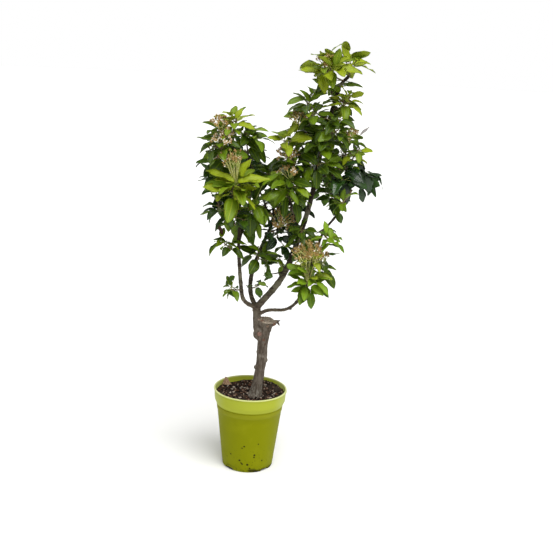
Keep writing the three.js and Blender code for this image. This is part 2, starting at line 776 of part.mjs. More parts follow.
// The spurs on a mass's stem, where there is room for them
function growSpurs(mass, number, draw, space) {
  const { curve } = mass;
  const phase = draw.between(0, 2 * Math.PI);
  const spurs = [];
  for (let i = 0; i < mass.spurs; i += 1) {
    const at = SPUR.first + SPUR.span * (i + draw.between(...SPUR.within)) / mass.spurs;
    const foot = curve.getPoint(at);
    const before = curve.getPoint(at - SPUR.tangentStep);
    const along = curve.getPoint(at + SPUR.tangentStep).sub(before).normalize();
    const polar = THREE.MathUtils.degToRad(draw.between(...SPUR.spread));
    const heading = lean(along, polar, phase + i * GOLDEN_ANGLE);
    heading.z += SPUR.lift - SPUR.sag * mass.hang;
    heading.normalize();
    const tip = foot.clone().addScaledVector(heading, mass.reach * draw.between(...SPUR.long));
    const cells = SPUR.looksAt.map((share) => Space.cell(foot.clone().lerp(tip, share)));
    if (space.free(cells, number)) {
      spurs.push({ foot, tip, heading });
    }
  }
  return spurs;
}

// Grows a mass's spurs and leaves by its seed, in the space that is left to it
function growMass(mass, number, space) {
  const draw = new Draw(mass.seed);
  const spurs = growSpurs(mass, number, draw, space);
  const heading = mass.end.clone().sub(mass.curve.getPoint(TWIG.lastBendAt)).normalize();
  const own = { leaves: new Set(), margin: new Set() };
  const ends = [...spurs, { tip: mass.end, heading }].reverse();
  const leaves = ends.flatMap((end) => growRosette(mass, number, end, draw, space, own));
  for (const leaf of leaves) {
    space.hold(leaf.cells, number);
    const onStalk = LEAF.stalkCells.map((share) => Space.cell(leaf.root.clone().lerp(leaf.base, share)));
    space.hold(onStalk, number);
  }
  for (const { foot, tip } of spurs) {
    space.hold(cellsAlong(foot, tip, SPUR.cellSteps), number);
  }
  return { spurs, leaves };
}

// The dried stalks of a flower truss, fanned out above the end of a mass
function growTruss(mass, number, space) {
  const [count, long] = mass.truss ?? [0, 0];
  const draw = new Draw(mass.seed + STALKS.seedStep);
  const tips = [];
  for (let i = 0; i < count; i += 1) {
    const polar = THREE.MathUtils.degToRad(STALKS.first + STALKS.fan * (i + 0.5) / count);
    const azimuth = i * GOLDEN_ANGLE + draw.between(-STALKS.wander, STALKS.wander);
    const heading = lean(UP, polar, azimuth);
    const tip = mass.end.clone().addScaledVector(heading, long * draw.between(...STALKS.long));
    const cells = cellsAlong(mass.end, tip, STALKS.cellSteps).slice(1);
    if (space.free(cells, number)) {
      tips.push(tip);
      space.hold(cells, number);
    }
  }
  return tips;
}

// A leaf: a three-sided stalk that opens into a shallow keeled blade
function leafSolid(leaf) {
  const { root, widest, tip } = LEAF_RINGS;
  return reshape(3, tip, (ring, share, across, along) => {
    if (ring === tip) {
      return blade(leaf, 1, 0);
    }
    if (ring === widest) {
      const edge = Math.abs(across) < 0.1 ? 0 : -Math.sign(across);
      return blade(leaf, LEAF.widestAt, edge).addScaledVector(leaf.normal, edge === 0 ? -LEAF.keel : 0);
    }
    return (ring === root ? leaf.root : leaf.base).clone()
      .addScaledVector(leaf.side, -across * LEAF.stalkRadius)
      .addScaledVector(leaf.normal, -along * LEAF.stalkRadius);
  }, 0);
}

// A mass: stem, spurs, leaves and dried stalks fused, and cut clear of its bough
function massSolid(mass, swollenBough) {
  const { curve, end, leaves, spurs, stalks } = mass;
  const rings = Math.max(2, Math.round(curve.getLength() / TWIG.step));
  const shapes = [limb(curve, TWIG.sides, rings, taper([TWIG.foot, TWIG.tip]))];
  for (const { foot, tip } of spurs) {
    shapes.push(limb(new THREE.LineCurve3(foot, tip), TWIG.sides, 1, taper([SPUR.foot, TWIG.tip])));
  }
  for (const leaf of leaves) {
    shapes.push(leafSolid(leaf));
  }
  for (const tip of stalks) {
    const radiusAt = (share) => (share < 1 ? STALKS.thin : STALKS.club);
    shapes.push(limb(new THREE.LineCurve3(end, tip), TWIG.sides, 2, radiusAt));
  }
  const fused = wasm.Manifold.union(shapes).asOriginal().simplify(SMALLEST_DETAIL);
  return wholeBody(fused.subtract(swollenBough));
}

// Limbs take their space first: a thick one fills it out to its surface
function holdLimb({ curve, radius }, space) {
  const radiusAt = taper(radius);
  for (let i = 0; i <= LIMB_CHECKS; i += 1) {
    const centre = curve.getPoint(i / LIMB_CHECKS);
    const reach = radiusAt(i / LIMB_CHECKS);
    const offsets = reach > CELL ? [-reach, 0, reach] : [0];
    const steps = offsets.flatMap((x) => offsets.flatMap((y) => offsets.map((z) => [x, y, z])));
    space.hold(steps.map((step) => Space.cell(centre.clone().add(new THREE.Vector3(...step)))), SHARED);
  }
}

// The stems of all masses take theirs next, and then each mass grows in what is left
function growPlant() {
  const space = new Space();
  Object.values(LIMBS).forEach((bough) => holdLimb(bough, space));
  MASSES.forEach((mass, number) => {
    mass.curve = stemCurve(mass);
    mass.end = mass.curve.v2;
    const steps = Math.floor(mass.curve.v0.distanceTo(mass.end) / CELL) + 2;
    space.hold(mass.curve.getPoints(steps).map(Space.cell), number);
  });
  MASSES.forEach((mass, number) => {
    Object.assign(mass, growMass(mass, number, space));
    mass.stalks = growTruss(mass, number, space);
  });
}

const plastic = material("lime_plastic", 0x9aa01c, 0.45);
const earth = material("potting_soil", 0x35261c, 0.97);
const bark = material("bark", 0x7a6a5a, 0.9);
const boughBark = material("bough_bark", 0x6b5a4a, 0.88);
const foliage = {};
for (const [tint, colour] of Object.entries(TINTS)) {
  foliage[tint] = material(`${tint}_leaves`, colour, 0.5);
}

// The whole plant in its pot
const plant = new THREE.Group();
plant.add(part("pot", makePot(), new THREE.Vector3(), plastic));
plant.add(part("soil", makeSoil(), new THREE.Vector3(0, 0, POT.floor), earth));
plant.add(part("trunk", wholeBody(makeStem()), new THREE.Vector3(...STEM.route[1]), bark));
const { made, swollen } = makeBoughs();
for (const { name } of BOUGHS) {
  plant.add(part(name, made[name], LIMBS[name].curve.getPoint(0), boughBark));
}
growPlant();
for (const mass of MASSES) {
  plant.add(part(mass.name, massSolid(mass, swollen[mass.bough]), mass.curve.v0, foliage[mass.tint]));
}

export default plant;
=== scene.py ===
"""Potted dwarf pear tree: bark, leaves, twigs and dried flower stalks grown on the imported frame.

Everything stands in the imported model's frame, with the centre of the pot's underside at the origin.
Growth is worked out in millimetres, and meshes are made in metres.
"""
import math

import bpy
import numpy as np
from mathutils import Matrix, Vector, noise


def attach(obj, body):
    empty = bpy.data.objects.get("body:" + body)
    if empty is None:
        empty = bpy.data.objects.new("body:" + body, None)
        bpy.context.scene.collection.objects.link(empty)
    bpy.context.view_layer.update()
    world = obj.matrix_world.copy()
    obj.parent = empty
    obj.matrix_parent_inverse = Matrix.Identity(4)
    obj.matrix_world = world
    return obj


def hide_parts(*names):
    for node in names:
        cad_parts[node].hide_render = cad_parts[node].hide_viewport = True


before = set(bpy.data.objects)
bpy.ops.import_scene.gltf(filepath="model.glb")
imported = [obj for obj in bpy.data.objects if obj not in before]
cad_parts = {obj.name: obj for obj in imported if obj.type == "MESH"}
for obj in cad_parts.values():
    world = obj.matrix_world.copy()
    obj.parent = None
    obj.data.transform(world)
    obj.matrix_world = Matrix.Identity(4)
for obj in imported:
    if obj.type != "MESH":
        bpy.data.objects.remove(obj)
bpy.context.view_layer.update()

bl_info = {
    "name": "Potted dwarf pear tree",
    "version": (1, 0, 0),
    "blender": (4, 5, 0),
    "location": "View3D > Sidebar > Pear tree",
    "description": "Dresses the packed model of a potted dwarf pear tree",
    "category": "Object",
}

MM = 0.001
UP = (0.0, 0.0, 1.0)
GOLDEN_ANGLE = math.radians(137.508)

# The photograph's camera: place in metres, pitch, yaw and roll, and lens and sensor width in millimetres
CAMERA_PLACE = (0, -2.5, 1.201)
CAMERA_TURNS = (0.2483, 0.02375, 0.0501)
LENS = 59.89
SENSOR_WIDTH = 36

# Limbs in millimetres: parent, share of its length, radii at foot and tip, and places on the way
LIMB_ROWS = {
    "leader": (None, 0, (14, 11), [(27, -14, 384), (14.5, -13, 412), (11, -10, 440), (9, -8, 460), (7, -7, 475)]),
    "left_bough": ("leader", 1, (6.2, 3.2), [
        (-29, -20, 500), (-40, -28, 554), (-49, -38, 655), (-51, -44, 748), (-74, -42, 850), (-77, -38, 919)]),
    "middle_bough": ("leader", 1, (6.8, 3.6), [
        (-11, 6, 514), (-10, 18, 569), (13, 32, 640), (41, 46, 716), (41, 52, 820)]),
    "main_bough": ("leader", 1, (9.4, 4.4), [
        (81, 5, 577), (138, 20, 756), (168, 30, 934), (201, 25, 1084), (227, 20, 1125)]),
    "low_right_bough": ("leader", 0.68, (5, 4.4), [
        (40, -25, 475), (86, -43, 484), (114, -53, 507), (140, -66, 552)]),
    "far_right_bough": ("low_right_bough", 1, (4.3, 2.8), [
        (160, -62, 639), (178, -50, 707), (214, -36, 757), (252, -20, 824)]),
    "left_inner_bough": ("left_bough", 0.52, (3.8, 2.4), [
        (-38, -30, 715), (-26, -12, 771), (-22, 4, 835), (-35, 12, 907)]),
    "centre_bough": ("main_bough", 0.33, (4.2, 2.6), [(90, 5, 768), (71, -8, 855)]),
    "upper_left_bough": ("main_bough", 0.494, (3.8, 2.4), [(124, 8, 904), (101, -4, 956)]),
    "right_side_bough": ("main_bough", 0.504, (3.9, 2.5), [(203, 40, 854), (241, 50, 874)]),
    "rear_right_bough": ("main_bough", 0.409, (3.8, 2.2), [(159, 60, 813), (196, 100, 888)]),
    "rear_left_bough": ("middle_bough", 0.748, (3.6, 2.2), [(19, 82, 754), (-23, 115, 842)]),
}
BOUGHS = [name for name in LIMB_ROWS if name != "leader"]

# The stem below the fork, its sawn stub with a torn spike, its burl and its knobs
STEM_PLACES = [(12, -26, 205), (14, -25, 217), (22, -22, 271), (28, -18, 324), (29, -14, 368), (29, -12, 398)]
STEM_RADIUS = 14.8
# Where the stem leaves the soil, and the radius that the chips keep clear round it
STEM_X, STEM_Y, STEM_Z, STEM_ROOM = 14, -25, 217, 16
FLARE = 6.0
FLARE_HEIGHT = 12.0
STUB_LEVELS = [((29, -14, 366), 14.4, 14.4), ((33, -11, 408), 17.5, 16.5), ((38, -9, 443), 23, 18)]
STUB_FALL = (-0.12, 0.2)
# How far the stub is drawn past its saw cut, before the cut takes that off
STUB_SPARE = 6
SPIKE_PLACES = [(52, -9, 430), (61, -8, 437), (68, -8, 439), (76, -9, 442)]
BURL = ((15, -17, 402), (14.5, 13, 17))
KNOBS = [((13.5, -25, 305), 5), ((39.5, -22, 326), 5.4), ((17, -27, 352), 4.0), ((21, -26, 386), 4.4)]

# Lumps of callus round the saw cut: place and size
CALLUS = [
    ((24, -26, 436), (8, 5, 9)), ((37, -28, 436), (9, 4.5, 7)), ((50, -24, 432), (8, 5, 7)),
    ((59, -14, 434), (6, 6, 7)), ((30, -24, 422), (7, 6, 9)), ((45, -22, 418), (8, 6, 10))]

# Scars: place, radius, and a pale and a dark colour of their wrinkled bark
WOUNDS = [
    ((20, -31, 405), 8.0, "937264", "5a3c30"), ((24, -31, 396), 3.0, "4a3026", "241610"),
    ((32, -28, 388), 5.0, "6e4c3c", "3a251c"), ((37, -28, 375), 3.5, "5e4032", "33211a"),
    ((40, -27, 430), 5.0, "a8937c", "6a5040"), ((57, -20, 430), 8.0, "9a6e56", "54382a"),
    ((70, -9, 438), 7.0, "3c2c22", "1c140e"), ((3, -12, 476), 6.0, "4a3529", "261a14")]

# The pot: height of its band, top radius of its wall, how far below the band its groove and the foot of its strip
# lie, and the number of its drainage notches and the length, width and height of the block that cuts each
BAND_HEIGHT = 45
WALL_TOP = 95
GROOVE_DROP, STRIP_DROP = 3, 17
NOTCHES = 4
NOTCH_BLOCK = (44, 30, 14)

# Crumbs of mud on the front of the pot: how far to the right and up, and the radius
MUD_SPECKS = [
    ((-22, 38), 1.5), ((-17, 30), 1.0), ((-14, 27), 1.2), ((1, 26), 1.8), ((20, 57), 1.5), ((19, 50), 1.2),
    ((-10, 85), 1.2), ((-16, 79), 0.9), ((30, 92), 0.8), ((-48, 52), 0.9), ((42, 36), 0.9), ((8, 14), 1.2)]

# The soil: corners above this height, in metres, belong to its crumbly surface
SOIL_SURFACE = 0.2135

# Dried flower trusses: mass, and then the number, length, spread and lean of its stalks, and the
# share of scraps that are pale petals
DRY_TRUSSES = {
    "left_top_outer": (16, 30, 52, (0.2, -0.5, 0.0), 0.12),
    "left_upper_outer": (14, 38, 48, (0.4, -0.8, 0.2), 0.4),
    "left_mid_outer": (12, 38, 44, (0.5, -0.7, 0.2), 0.6),
    "left_bright": (16, 88, 20, (-0.2, -0.15, 0.0), 0.1),
    "centre_flower": (18, 36, 54, (0.0, -0.7, 0.0), 0.3),
    "centre_upper": (9, 28, 50, (-0.2, -0.4, 0.0), 0.25),
    "centre_low": (18, 44, 50, (0.1, -0.6, 0.0), 0.2),
    "centre_dark": (10, 60, 34, (0.0, -0.6, 0.0), 0.4),
    "centre_mid": (8, 40, 40, (-0.2, -0.4, 0.0), 0.2),
    "top_left": (11, 34, 50, (0.1, -0.4, 0.0), 0.15),
    "right_outer": (9, 30, 50, (0.0, -0.5, 0.0), 0.2),
    "low_bright": (15, 92, 27, (-0.06, -0.1, 0.0), 0.1),
    "low_truss": (22, 44, 50, (-0.08, -0.2, 0.0), 0.06),
    "low_bright_right": (8, 48, 30, (-0.1, -0.2, 0.0), 0.08),
}

# Leaves that stand out from the crown: foot, tip, width, curl, roll and finish
SINGLE_LEAVES = [
    ((-125, -52, 942), (-171, -52, 947), 13, 0.5, 0.9, "mid"),
    ((-63, -30, 1018), (-44, -30, 1033), 12, 0.2, 0.8, "mid"),
    ((-140, -40, 892), (-170, -40, 868), 11, 0.8, 0.7, "deep"),
    ((-109, -60, 718), (-93, -60, 690), 13, 0.6, 0.9, "brown"),
    ((-114, -50, 754), (-158, -50, 741), 15, 0.3, 0.7, "mid"),
    ((-103, -45, 665), (-128, -45, 637), 15, 0.9, 0.8, "dark"),
    ((267, 10, 970), (292, 10, 993), 8, 0.3, 0.9, "withered"),
    ((296, 40, 868), (344, 40, 812), 15, 1.4, 0.5, "deep"),
    ((279, 30, 822), (292, 30, 782), 24, 0.4, 1.1, "deep"),
    ((191, -60, 713), (226, -60, 683), 18, 0.4, 0.8, "fresh"),
    ((184, -66, 680), (233, -66, 671), 9, 0.3, 0.5, "dark"),
    ((177, -70, 648), (227, -70, 656), 9, 0.2, 0.5, "dark"),
    ((190, -50, 721), (214, -50, 710), 10, 0.4, 0.5, "dark"),
    ((179, -66, 554), (204, -66, 529), 15, 0.3, 1.0, "dark"),
    ((219, -30, 761), (229, -30, 731), 17, 0.3, 1.1, "dark"),
    ((-64, -112, 845), (-141, -112, 868), 26, 0.6, -0.6, "young"),
    ((-62, -106, 838), (-142, -106, 826), 28, 0.5, -0.8, "fresh"),
    ((-59, -112, 845), (29, -112, 850), 28, 0.5, 0.7, "young"),
    ((-61, -118, 836), (-51, -118, 786), 27, 0.4, 1.2, "young"),
    ((7, -60, 829), (56, -60, 870), 24, 0.6, 0.5, "fresh"),
    ((268, 30, 903), (285, 30, 851), 25, 0.6, 1.0, "deep"),
    ((287, 20, 860), (308, 20, 806), 33, 0.7, 1.1, "deep"),
    ((255, 0, 857), (213, 0, 824), 30, 0.6, -1.0, "deep"),
    ((221, 0, 910), (213, 0, 863), 24, 0.4, -1.1, "deep"),
    ((204, -10, 787), (241, -10, 764), 18, 0.4, 0.8, "fresh"),
    ((152, -20, 1125), (91, -20, 1132), 25, 0.9, -0.7, "young"),
    ((224, 10, 1164), (202, 10, 1202), 23, 0.2, -1.0, "young"),
    ((229, 10, 1164), (275, 10, 1185), 20, 0.6, 0.6, "fresh"),
    ((-56, -40, 573), (-80, -40, 544), 18, 0.6, -0.9, "dark"),
    ((-46, -40, 513), (-77, -40, 528), 20, 0.7, -0.9, "dark"),
    ((24, -45, 584), (48, -45, 575), 23, 0.3, 0.9, "dark"),
    ((31, -45, 553), (8, -45, 556), 14, 0.3, -0.9, "mid"),
    ((1, -45, 538), (21, -45, 521), 22, 0.4, 1.0, "dark"),
]

# A mass: bough, share of its length, tip, spurs, reach, leaves, size, hang, tint, seed, and then
# the count and seed of its finer twigs, the lean of its rosettes, and its truss's count and length
MASS_ROWS = {
    "left_top": ("left_bough", 1, (-69, -36, 1001), 2, 26, 4, 46, 0, "young",
        149, 6, 47, (0, 0, 0), (0, 0)),
    "left_top_outer": ("left_bough", 0.96, (-112, -58, 975), 1, 30, 6, 46, 0.1, "mid",
        126, 6, 218, (0, 0, 0), (3, 26)),
    "left_upper_right": ("left_inner_bough", 1, (-42, -5, 962), 1, 34, 6, 58, 0.1, "mid",
        547, 6, 70, (0, 0, 0), (0, 0)),
    "left_upper_outer": ("left_bough", 0.9, (-105, -70, 934), 1, 32, 6, 54, 0.25, "mid",
        33, 6, 218, (0, 0, 0), (3, 24)),
    "left_shade_top": ("left_inner_bough", 0.9, (-44, 58, 910), 1, 40, 6, 58, 0.5, "deep",
        252, 6, 115, (0, 0, 0), (0, 0)),
    "left_mid_outer": ("left_bough", 0.84, (-122, -30, 889), 1, 30, 6, 50, 0.35, "dark",
        117, 6, 189, (0, 0, 0), (3, 24)),
    "left_bright": ("left_bough", 0.74, (-61, -95, 831), 1, 34, 6, 76, 0, "young",
        389, 3, 62, (0, -0.3, 0.6), (4, 60)),
    "left_shade": ("left_bough", 0.76, (-130, 10, 834), 1, 30, 6, 54, 0.4, "deep",
        584, 6, 75, (0, 0, 0), (0, 0)),
    "left_inner_dark": ("rear_left_bough", 1, (-52, 135, 860), 2, 45, 5, 58, 0.3, "deep",
        52, 6, 152, (0, 0.3, 0), (0, 0)),
    "left_low_outer": ("left_bough", 0.64, (-108, -75, 773), 2, 36, 5, 52, 0.5, "dark",
        493, 6, 114, (0, 0, 0), (0, 0)),
    "left_hanging": ("left_inner_bough", 0.55, (-10, -60, 783), 1, 34, 5, 60, 0.75, "mid",
        42, 6, 218, (0, 0, 0), (0, 0)),
    "left_lower": ("left_bough", 0.6, (-85, -10, 740), 1, 32, 5, 50, 0.5, "mid",
        320, 6, 93, (0, 0, 0), (0, 0)),
    "left_lowest": ("left_bough", 0.47, (-97, -62, 678), 1, 30, 5, 42, 0.5, "mid",
        630, 1, 35, (0, 0, 0), (0, 0)),
    "inner_rosette": ("middle_bough", 0.5, (10, -20, 631), 1, 34, 6, 50, 0.2, "mid",
        517, 6, 99, (0, 0, 0), (0, 0)),
    "left_base": ("left_bough", 0.28, (-65, -50, 538), 0, 20, 4, 36, 0.4, "mid",
        245, 1, 177, (0, 0, 0), (0, 0)),
    "middle_base": ("middle_bough", 0.25, (20, -10, 549), 1, 24, 4, 32, 0.4, "dark",
        256, 1, 53, (0, 0, 0), (0, 0)),
    "rear_left_low": ("rear_left_bough", 0.5, (-18, 140, 722), 2, 44, 5, 56, 0.4, "dark",
        80, 6, 13, (0, 0.3, 0), (0, 0)),
    "centre_arc": ("middle_bough", 1, (36, 10, 848), 1, 40, 6, 62, 0.1, "mid",
        101, 6, 123, (0, -0.2, 0), (0, 0)),
    "centre_mid": ("centre_bough", 1, (82, -50, 845), 1, 40, 6, 62, 0.15, "mid",
        350, 6, 116, (0, -0.3, 0), (0, 0)),
    "centre_flower": ("upper_left_bough", 0.6, (71, -20, 897), 1, 34, 6, 56, 0.1, "mid",
        24, 6, 63, (0, 0, 0), (3, 28)),
    "centre_yellow": ("upper_left_bough", 1, (60, -45, 950), 0, 30, 6, 52, 0, "young",
        422, 6, 146, (0, 0, 0), (0, 0)),
    "centre_upper": ("upper_left_bough", 0.88, (96, -20, 994), 0, 24, 6, 46, 0, "mid",
        257, 6, 55, (0, 0, 0), (3, 22)),
    "centre_dark": ("centre_bough", 0.5, (81, 60, 755), 2, 40, 5, 58, 0.5, "deep",
        452, 6, 196, (0, 0, 0), (0, 0)),
    "centre_low": ("middle_bough", 0.72, (62, 0, 709), 1, 34, 5, 44, 0.4, "deep",
        174, 6, 221, (0, 0, 0), (3, 30)),
    "centre_right_low": ("main_bough", 0.3, (124, -40, 711), 1, 30, 5, 46, 0.3, "mid",
        101, 6, 57, (0, 0, 0), (0, 0)),
    "centre_lowest": ("main_bough", 0.21, (68, 40, 608), 1, 34, 5, 42, 0.3, "mid",
        174, 1, 160, (0, 0, 0), (0, 0)),
    "top": ("main_bough", 1, (230, 18, 1151), 1, 34, 6, 58, 0.05, "young",
        203, 6, 89, (0, 0, 0), (0, 0)),
    "top_left": ("main_bough", 0.9, (159, -20, 1143), 1, 40, 6, 62, 0.1, "young",
        146, 6, 6, (0, 0, 0), (3, 26)),
    "upper_inner": ("main_bough", 0.74, (185, 70, 1083), 1, 40, 6, 58, 0.2, "mid",
        252, 6, 22, (0, 0, 0), (0, 0)),
    "upper_left": ("main_bough", 0.68, (116, -25, 1053), 1, 34, 6, 56, 0.15, "mid",
        331, 6, 74, (0, 0, 0), (0, 0)),
    "upper_right": ("main_bough", 0.72, (229, -10, 1058), 1, 30, 6, 50, 0.1, "young",
        90, 6, 128, (0, 0, 0), (0, 0)),
    "right_upper": ("main_bough", 0.66, (197, -50, 1015), 1, 36, 6, 58, 0.25, "mid",
        96, 6, 226, (0, 0, 0), (0, 0)),
    "right_left": ("main_bough", 0.6, (124, 25, 1000), 2, 36, 5, 54, 0.15, "mid",
        645, 6, 123, (0, 0, 0), (0, 0)),
    "right_mid": ("main_bough", 0.53, (159, -45, 949), 1, 40, 6, 60, 0.3, "mid",
        682, 6, 178, (0, 0, 0), (0, 0)),
    "rear_upper": ("rear_right_bough", 1, (170, 120, 961), 2, 46, 5, 58, 0.25, "mid",
        214, 6, 52, (0, 0.3, 0), (0, 0)),
    "rear_mid": ("rear_right_bough", 0.8, (147, 135, 872), 1, 42, 6, 56, 0.4, "dark",
        481, 6, 68, (0, 0.3, 0), (0, 0)),
    "right_outer": ("right_side_bough", 0.66, (241, 20, 955), 1, 34, 6, 52, 0.15, "mid",
        434, 6, 1, (0, 0, 0), (3, 24)),
    "right_bright": ("right_side_bough", 0.86, (261, -20, 933), 0, 30, 6, 42, 0.1, "young",
        253, 6, 155, (0, 0, 0), (0, 0)),
    "right_dark": ("right_side_bough", 0.5, (217, -5, 880), 1, 44, 6, 70, 0.3, "deep",
        199, 1, 189, (0, 0, 0), (0, 0)),
    "right_dark_outer": ("right_side_bough", 1, (282, 75, 844), 1, 40, 6, 68, 0.45, "deep",
        556, 1, 182, (0, 0, 0), (0, 0)),
    "right_low_inner": ("rear_right_bough", 0.5, (193, 95, 797), 1, 40, 6, 54, 0.4, "dark",
        471, 6, 162, (0, 0.2, 0), (0, 0)),
    "right_low": ("far_right_bough", 1, (224, -55, 793), 1, 34, 6, 46, 0.3, "mid",
        587, 1, 51, (0, 0, 0), (0, 0)),
    "low_bright": ("far_right_bough", 0.04, (143, -95, 577), 1, 34, 6, 56, 0.15, "young",
        240, 6, 237, (0, -0.3, 0), (0, 0)),
    "low_bright_right": ("far_right_bough", 0.3, (181, -55, 611), 1, 36, 6, 50, 0.2, "mid",
        429, 6, 130, (0, 0, 0), (3, 50)),
    "low_truss": ("far_right_bough", 0.12, (150, -90, 640), 0, 24, 4, 36, 0.1, "young",
        507, 6, 133, (0, 0, 0), (7, 52)),
    "low_upper": ("far_right_bough", 0.5, (204, -90, 689), 1, 26, 4, 40, 0.2, "young",
        119, 1, 156, (0, 0, 0), (0, 0)),
}

# The rule of growth, as in the part's source
CELL = 5.0
GRID = 1024
LEAF_ROWS = [(row + 0.7) / 9.2 for row in range(9)]
LEAF_COLUMNS = (-1.0, -0.5, 0.0, 0.5, 1.0)
INNER_CELLS = 10
ROOM = 1.45
PITCH = 1.8
LEAF_TRIES = 8
CELL_FOLD = 0.05
NEAR = [(i * GRID + j) * GRID + k for i in (-1, 0, 1) for j in (-1, 0, 1) for k in (-1, 0, 1)]


def add(a, b):
    return (a[0] + b[0], a[1] + b[1], a[2] + b[2])


def less(a, b):
    return (a[0] - b[0], a[1] - b[1], a[2] - b[2])


def times(a, k):
    return (a[0] * k, a[1] * k, a[2] * k)


def dot(a, b):
    return a[0] * b[0] + a[1] * b[1] + a[2] * b[2]


def cross(a, b):
    return (a[1] * b[2] - a[2] * b[1], a[2] * b[0] - a[0] * b[2], a[0] * b[1] - a[1] * b[0])


def length(a):
    return math.sqrt(dot(a, a))


def unit(a):
    return times(a, 1 / length(a))


def mix(a, b, share):
    return (a[0] + (b[0] - a[0]) * share, a[1] + (b[1] - a[1]) * share, a[2] + (b[2] - a[2]) * share)


class Draw:
    """Numbers from 0 to 1, always the same for the same seed."""

    def __init__(self, seed):
        self.state = seed * 7919 + 12345
        self.next()
        self.next()

    def next(self):
        self.state = (self.state * 1664525 + 1013904223) % 4294967296
        return self.state / 4294967296

    def between(self, low, high):
        return low + (high - low) * self.next()


def crosswise(axis):
    """A direction square to an axis."""
    return cross(axis, UP if abs(axis[2]) < 0.9 else (1.0, 0.0, 0.0))


def lean(axis, polar, azimuth):
    """The direction at an angle polar from an axis, turned by azimuth about it."""
    aside = unit(crosswise(axis))
    third = cross(axis, aside)
    flat = math.sin(polar)
    return add(times(axis, math.cos(polar)),
               add(times(aside, math.cos(azimuth) * flat), times(third, math.sin(azimuth) * flat)))


def spline(places, share):
    """A place on the smooth curve through the places given."""
    last = len(places) - 1
    k = min(int(share * last), last - 1)
    u = share * last - k
    p1, p2 = places[k], places[k + 1]
    p0 = places[k - 1] if k > 0 else less(times(p1, 2), p2)
    p3 = places[k + 2] if k + 2 <= last else less(times(p2, 2), p1)
    return tuple(0.5 * (2 * b + (c - a) * u + (2 * a - 5 * b + 4 * c - d) * u * u
                        + (3 * b - a - 3 * c + d) * u * u * u)
                 for a, b, c, d in zip(p0, p1, p2, p3))


def bow(start, knee, end, share):
    """A place on the bow from start to end that bends towards the knee."""
    return mix(mix(start, knee, share), mix(knee, end, share), share)


def cell(point):
    x, y, z = (math.floor(value / CELL) + GRID // 2 for value in point)
    return (x * GRID + y) * GRID + z


def hold(taken, cells):
    """Takes the cubes given and all that touch them."""
    for one in cells:
        for step in NEAR:
            taken.add(one + step)


def blade_outline(share):
    """Half the width of a blade at a share of its length, against the greatest."""
    return 0.0 if share <= 0 or share >= 1 else 2.6 * share ** 0.6 * (1 - share) ** 0.8


def blade(leaf, share, across):
    """A place on a blade: share along it, across from -1 to 1."""
    half = 0.5 * leaf["wide"] * blade_outline(share) * across
    curl, long = leaf["curl"], leaf["long"]
    ahead = long * math.sin(curl * share) / curl
    lift = CELL_FOLD * abs(half) - long * (1 - math.cos(curl * share)) / curl
    return add(add(leaf["base"], times(leaf["heading"], ahead)),
               add(times(leaf["normal"], lift), times(leaf["side"], half)))


def draw_leaf(mass, size, axis, root, share, turn, draw):
    """One leaf of a rosette: share runs from the lowest leaf to the one at the top."""
    polar = math.radians(96 - 60 * share + draw.between(-16, 16))
    azimuth = turn + draw.between(-0.35, 0.35)
    x, y, z = lean(axis, polar, azimuth)
    heading = unit((x, y, 0.65 * z + 0.08 - mass["hang"] * (1.3 - share)))
    stalk = size * draw.between(0.18, 0.32)
    long = size * draw.between(0.92, 1.22) * (1 - 0.3 * share)
    wide = long * draw.between(0.46, 0.6)
    roll = draw.between(-0.6, 0.6)
    curl = draw.between(0.15, 1.0)
    up = add(UP, times(axis, 0.8))
    level = unit(less(up, times(heading, dot(up, heading))))
    normal = add(times(level, math.cos(roll)), times(cross(heading, level), math.sin(roll)))
    return {"root": root, "base": add(root, times(heading, stalk)), "heading": heading, "normal": normal,
            "side": cross(heading, normal), "long": long, "wide": wide, "curl": curl}


def settle(leaf, mass, taken, own, margin):
    """Whether a leaf stays within its mass's reach and finds its cubes free, which are then its own."""
    too_far = length(less(blade(leaf, 1, 0), mass["tip"])) > mass["reach"] + ROOM * mass["size"]
    if too_far or cell(mix(leaf["root"], leaf["base"], 0.7)) in taken:
        return False
    cells = [cell(blade(leaf, share, across)) for share in LEAF_ROWS for across in LEAF_COLUMNS]
    outer = cells[INNER_CELLS:]
    if not (taken.isdisjoint(cells) and own.isdisjoint(cells) and margin.isdisjoint(outer)):
        return False
    leaf["cells"] = cells
    own.update(cells)
    return True


def rosette(mass, size, count, end, heading, draw, fits):
    """Leaves round the end of a twig: the outer ones lie low and the inner ones stand up."""
    axis = unit(add(heading, add(mass["face"], (0.0, 0.0, 0.9))))
    phase = draw.between(0, 2 * math.pi)
    leaves = []
    for i in range(count):
        share = (i + 0.5) / count
        root = less(end, times(heading, PITCH * (count - i)))
        for _ in range(LEAF_TRIES):
            leaf = draw_leaf(mass, size, axis, root, share, phase + i * GOLDEN_ANGLE, draw)
            if fits(leaf):
                leaves.append(leaf)
                break
    return leaves


def side_heading(mass, host, at, step, polar, azimuth):
    """Where a side twig points that leaves its host bow at a share of its length."""
    along = unit(less(bow(*host, at + step), bow(*host, at - step)))
    x, y, z = lean(along, math.radians(polar), azimuth)
    return unit((x, y, z + 0.35 - 0.8 * mass["hang"]))


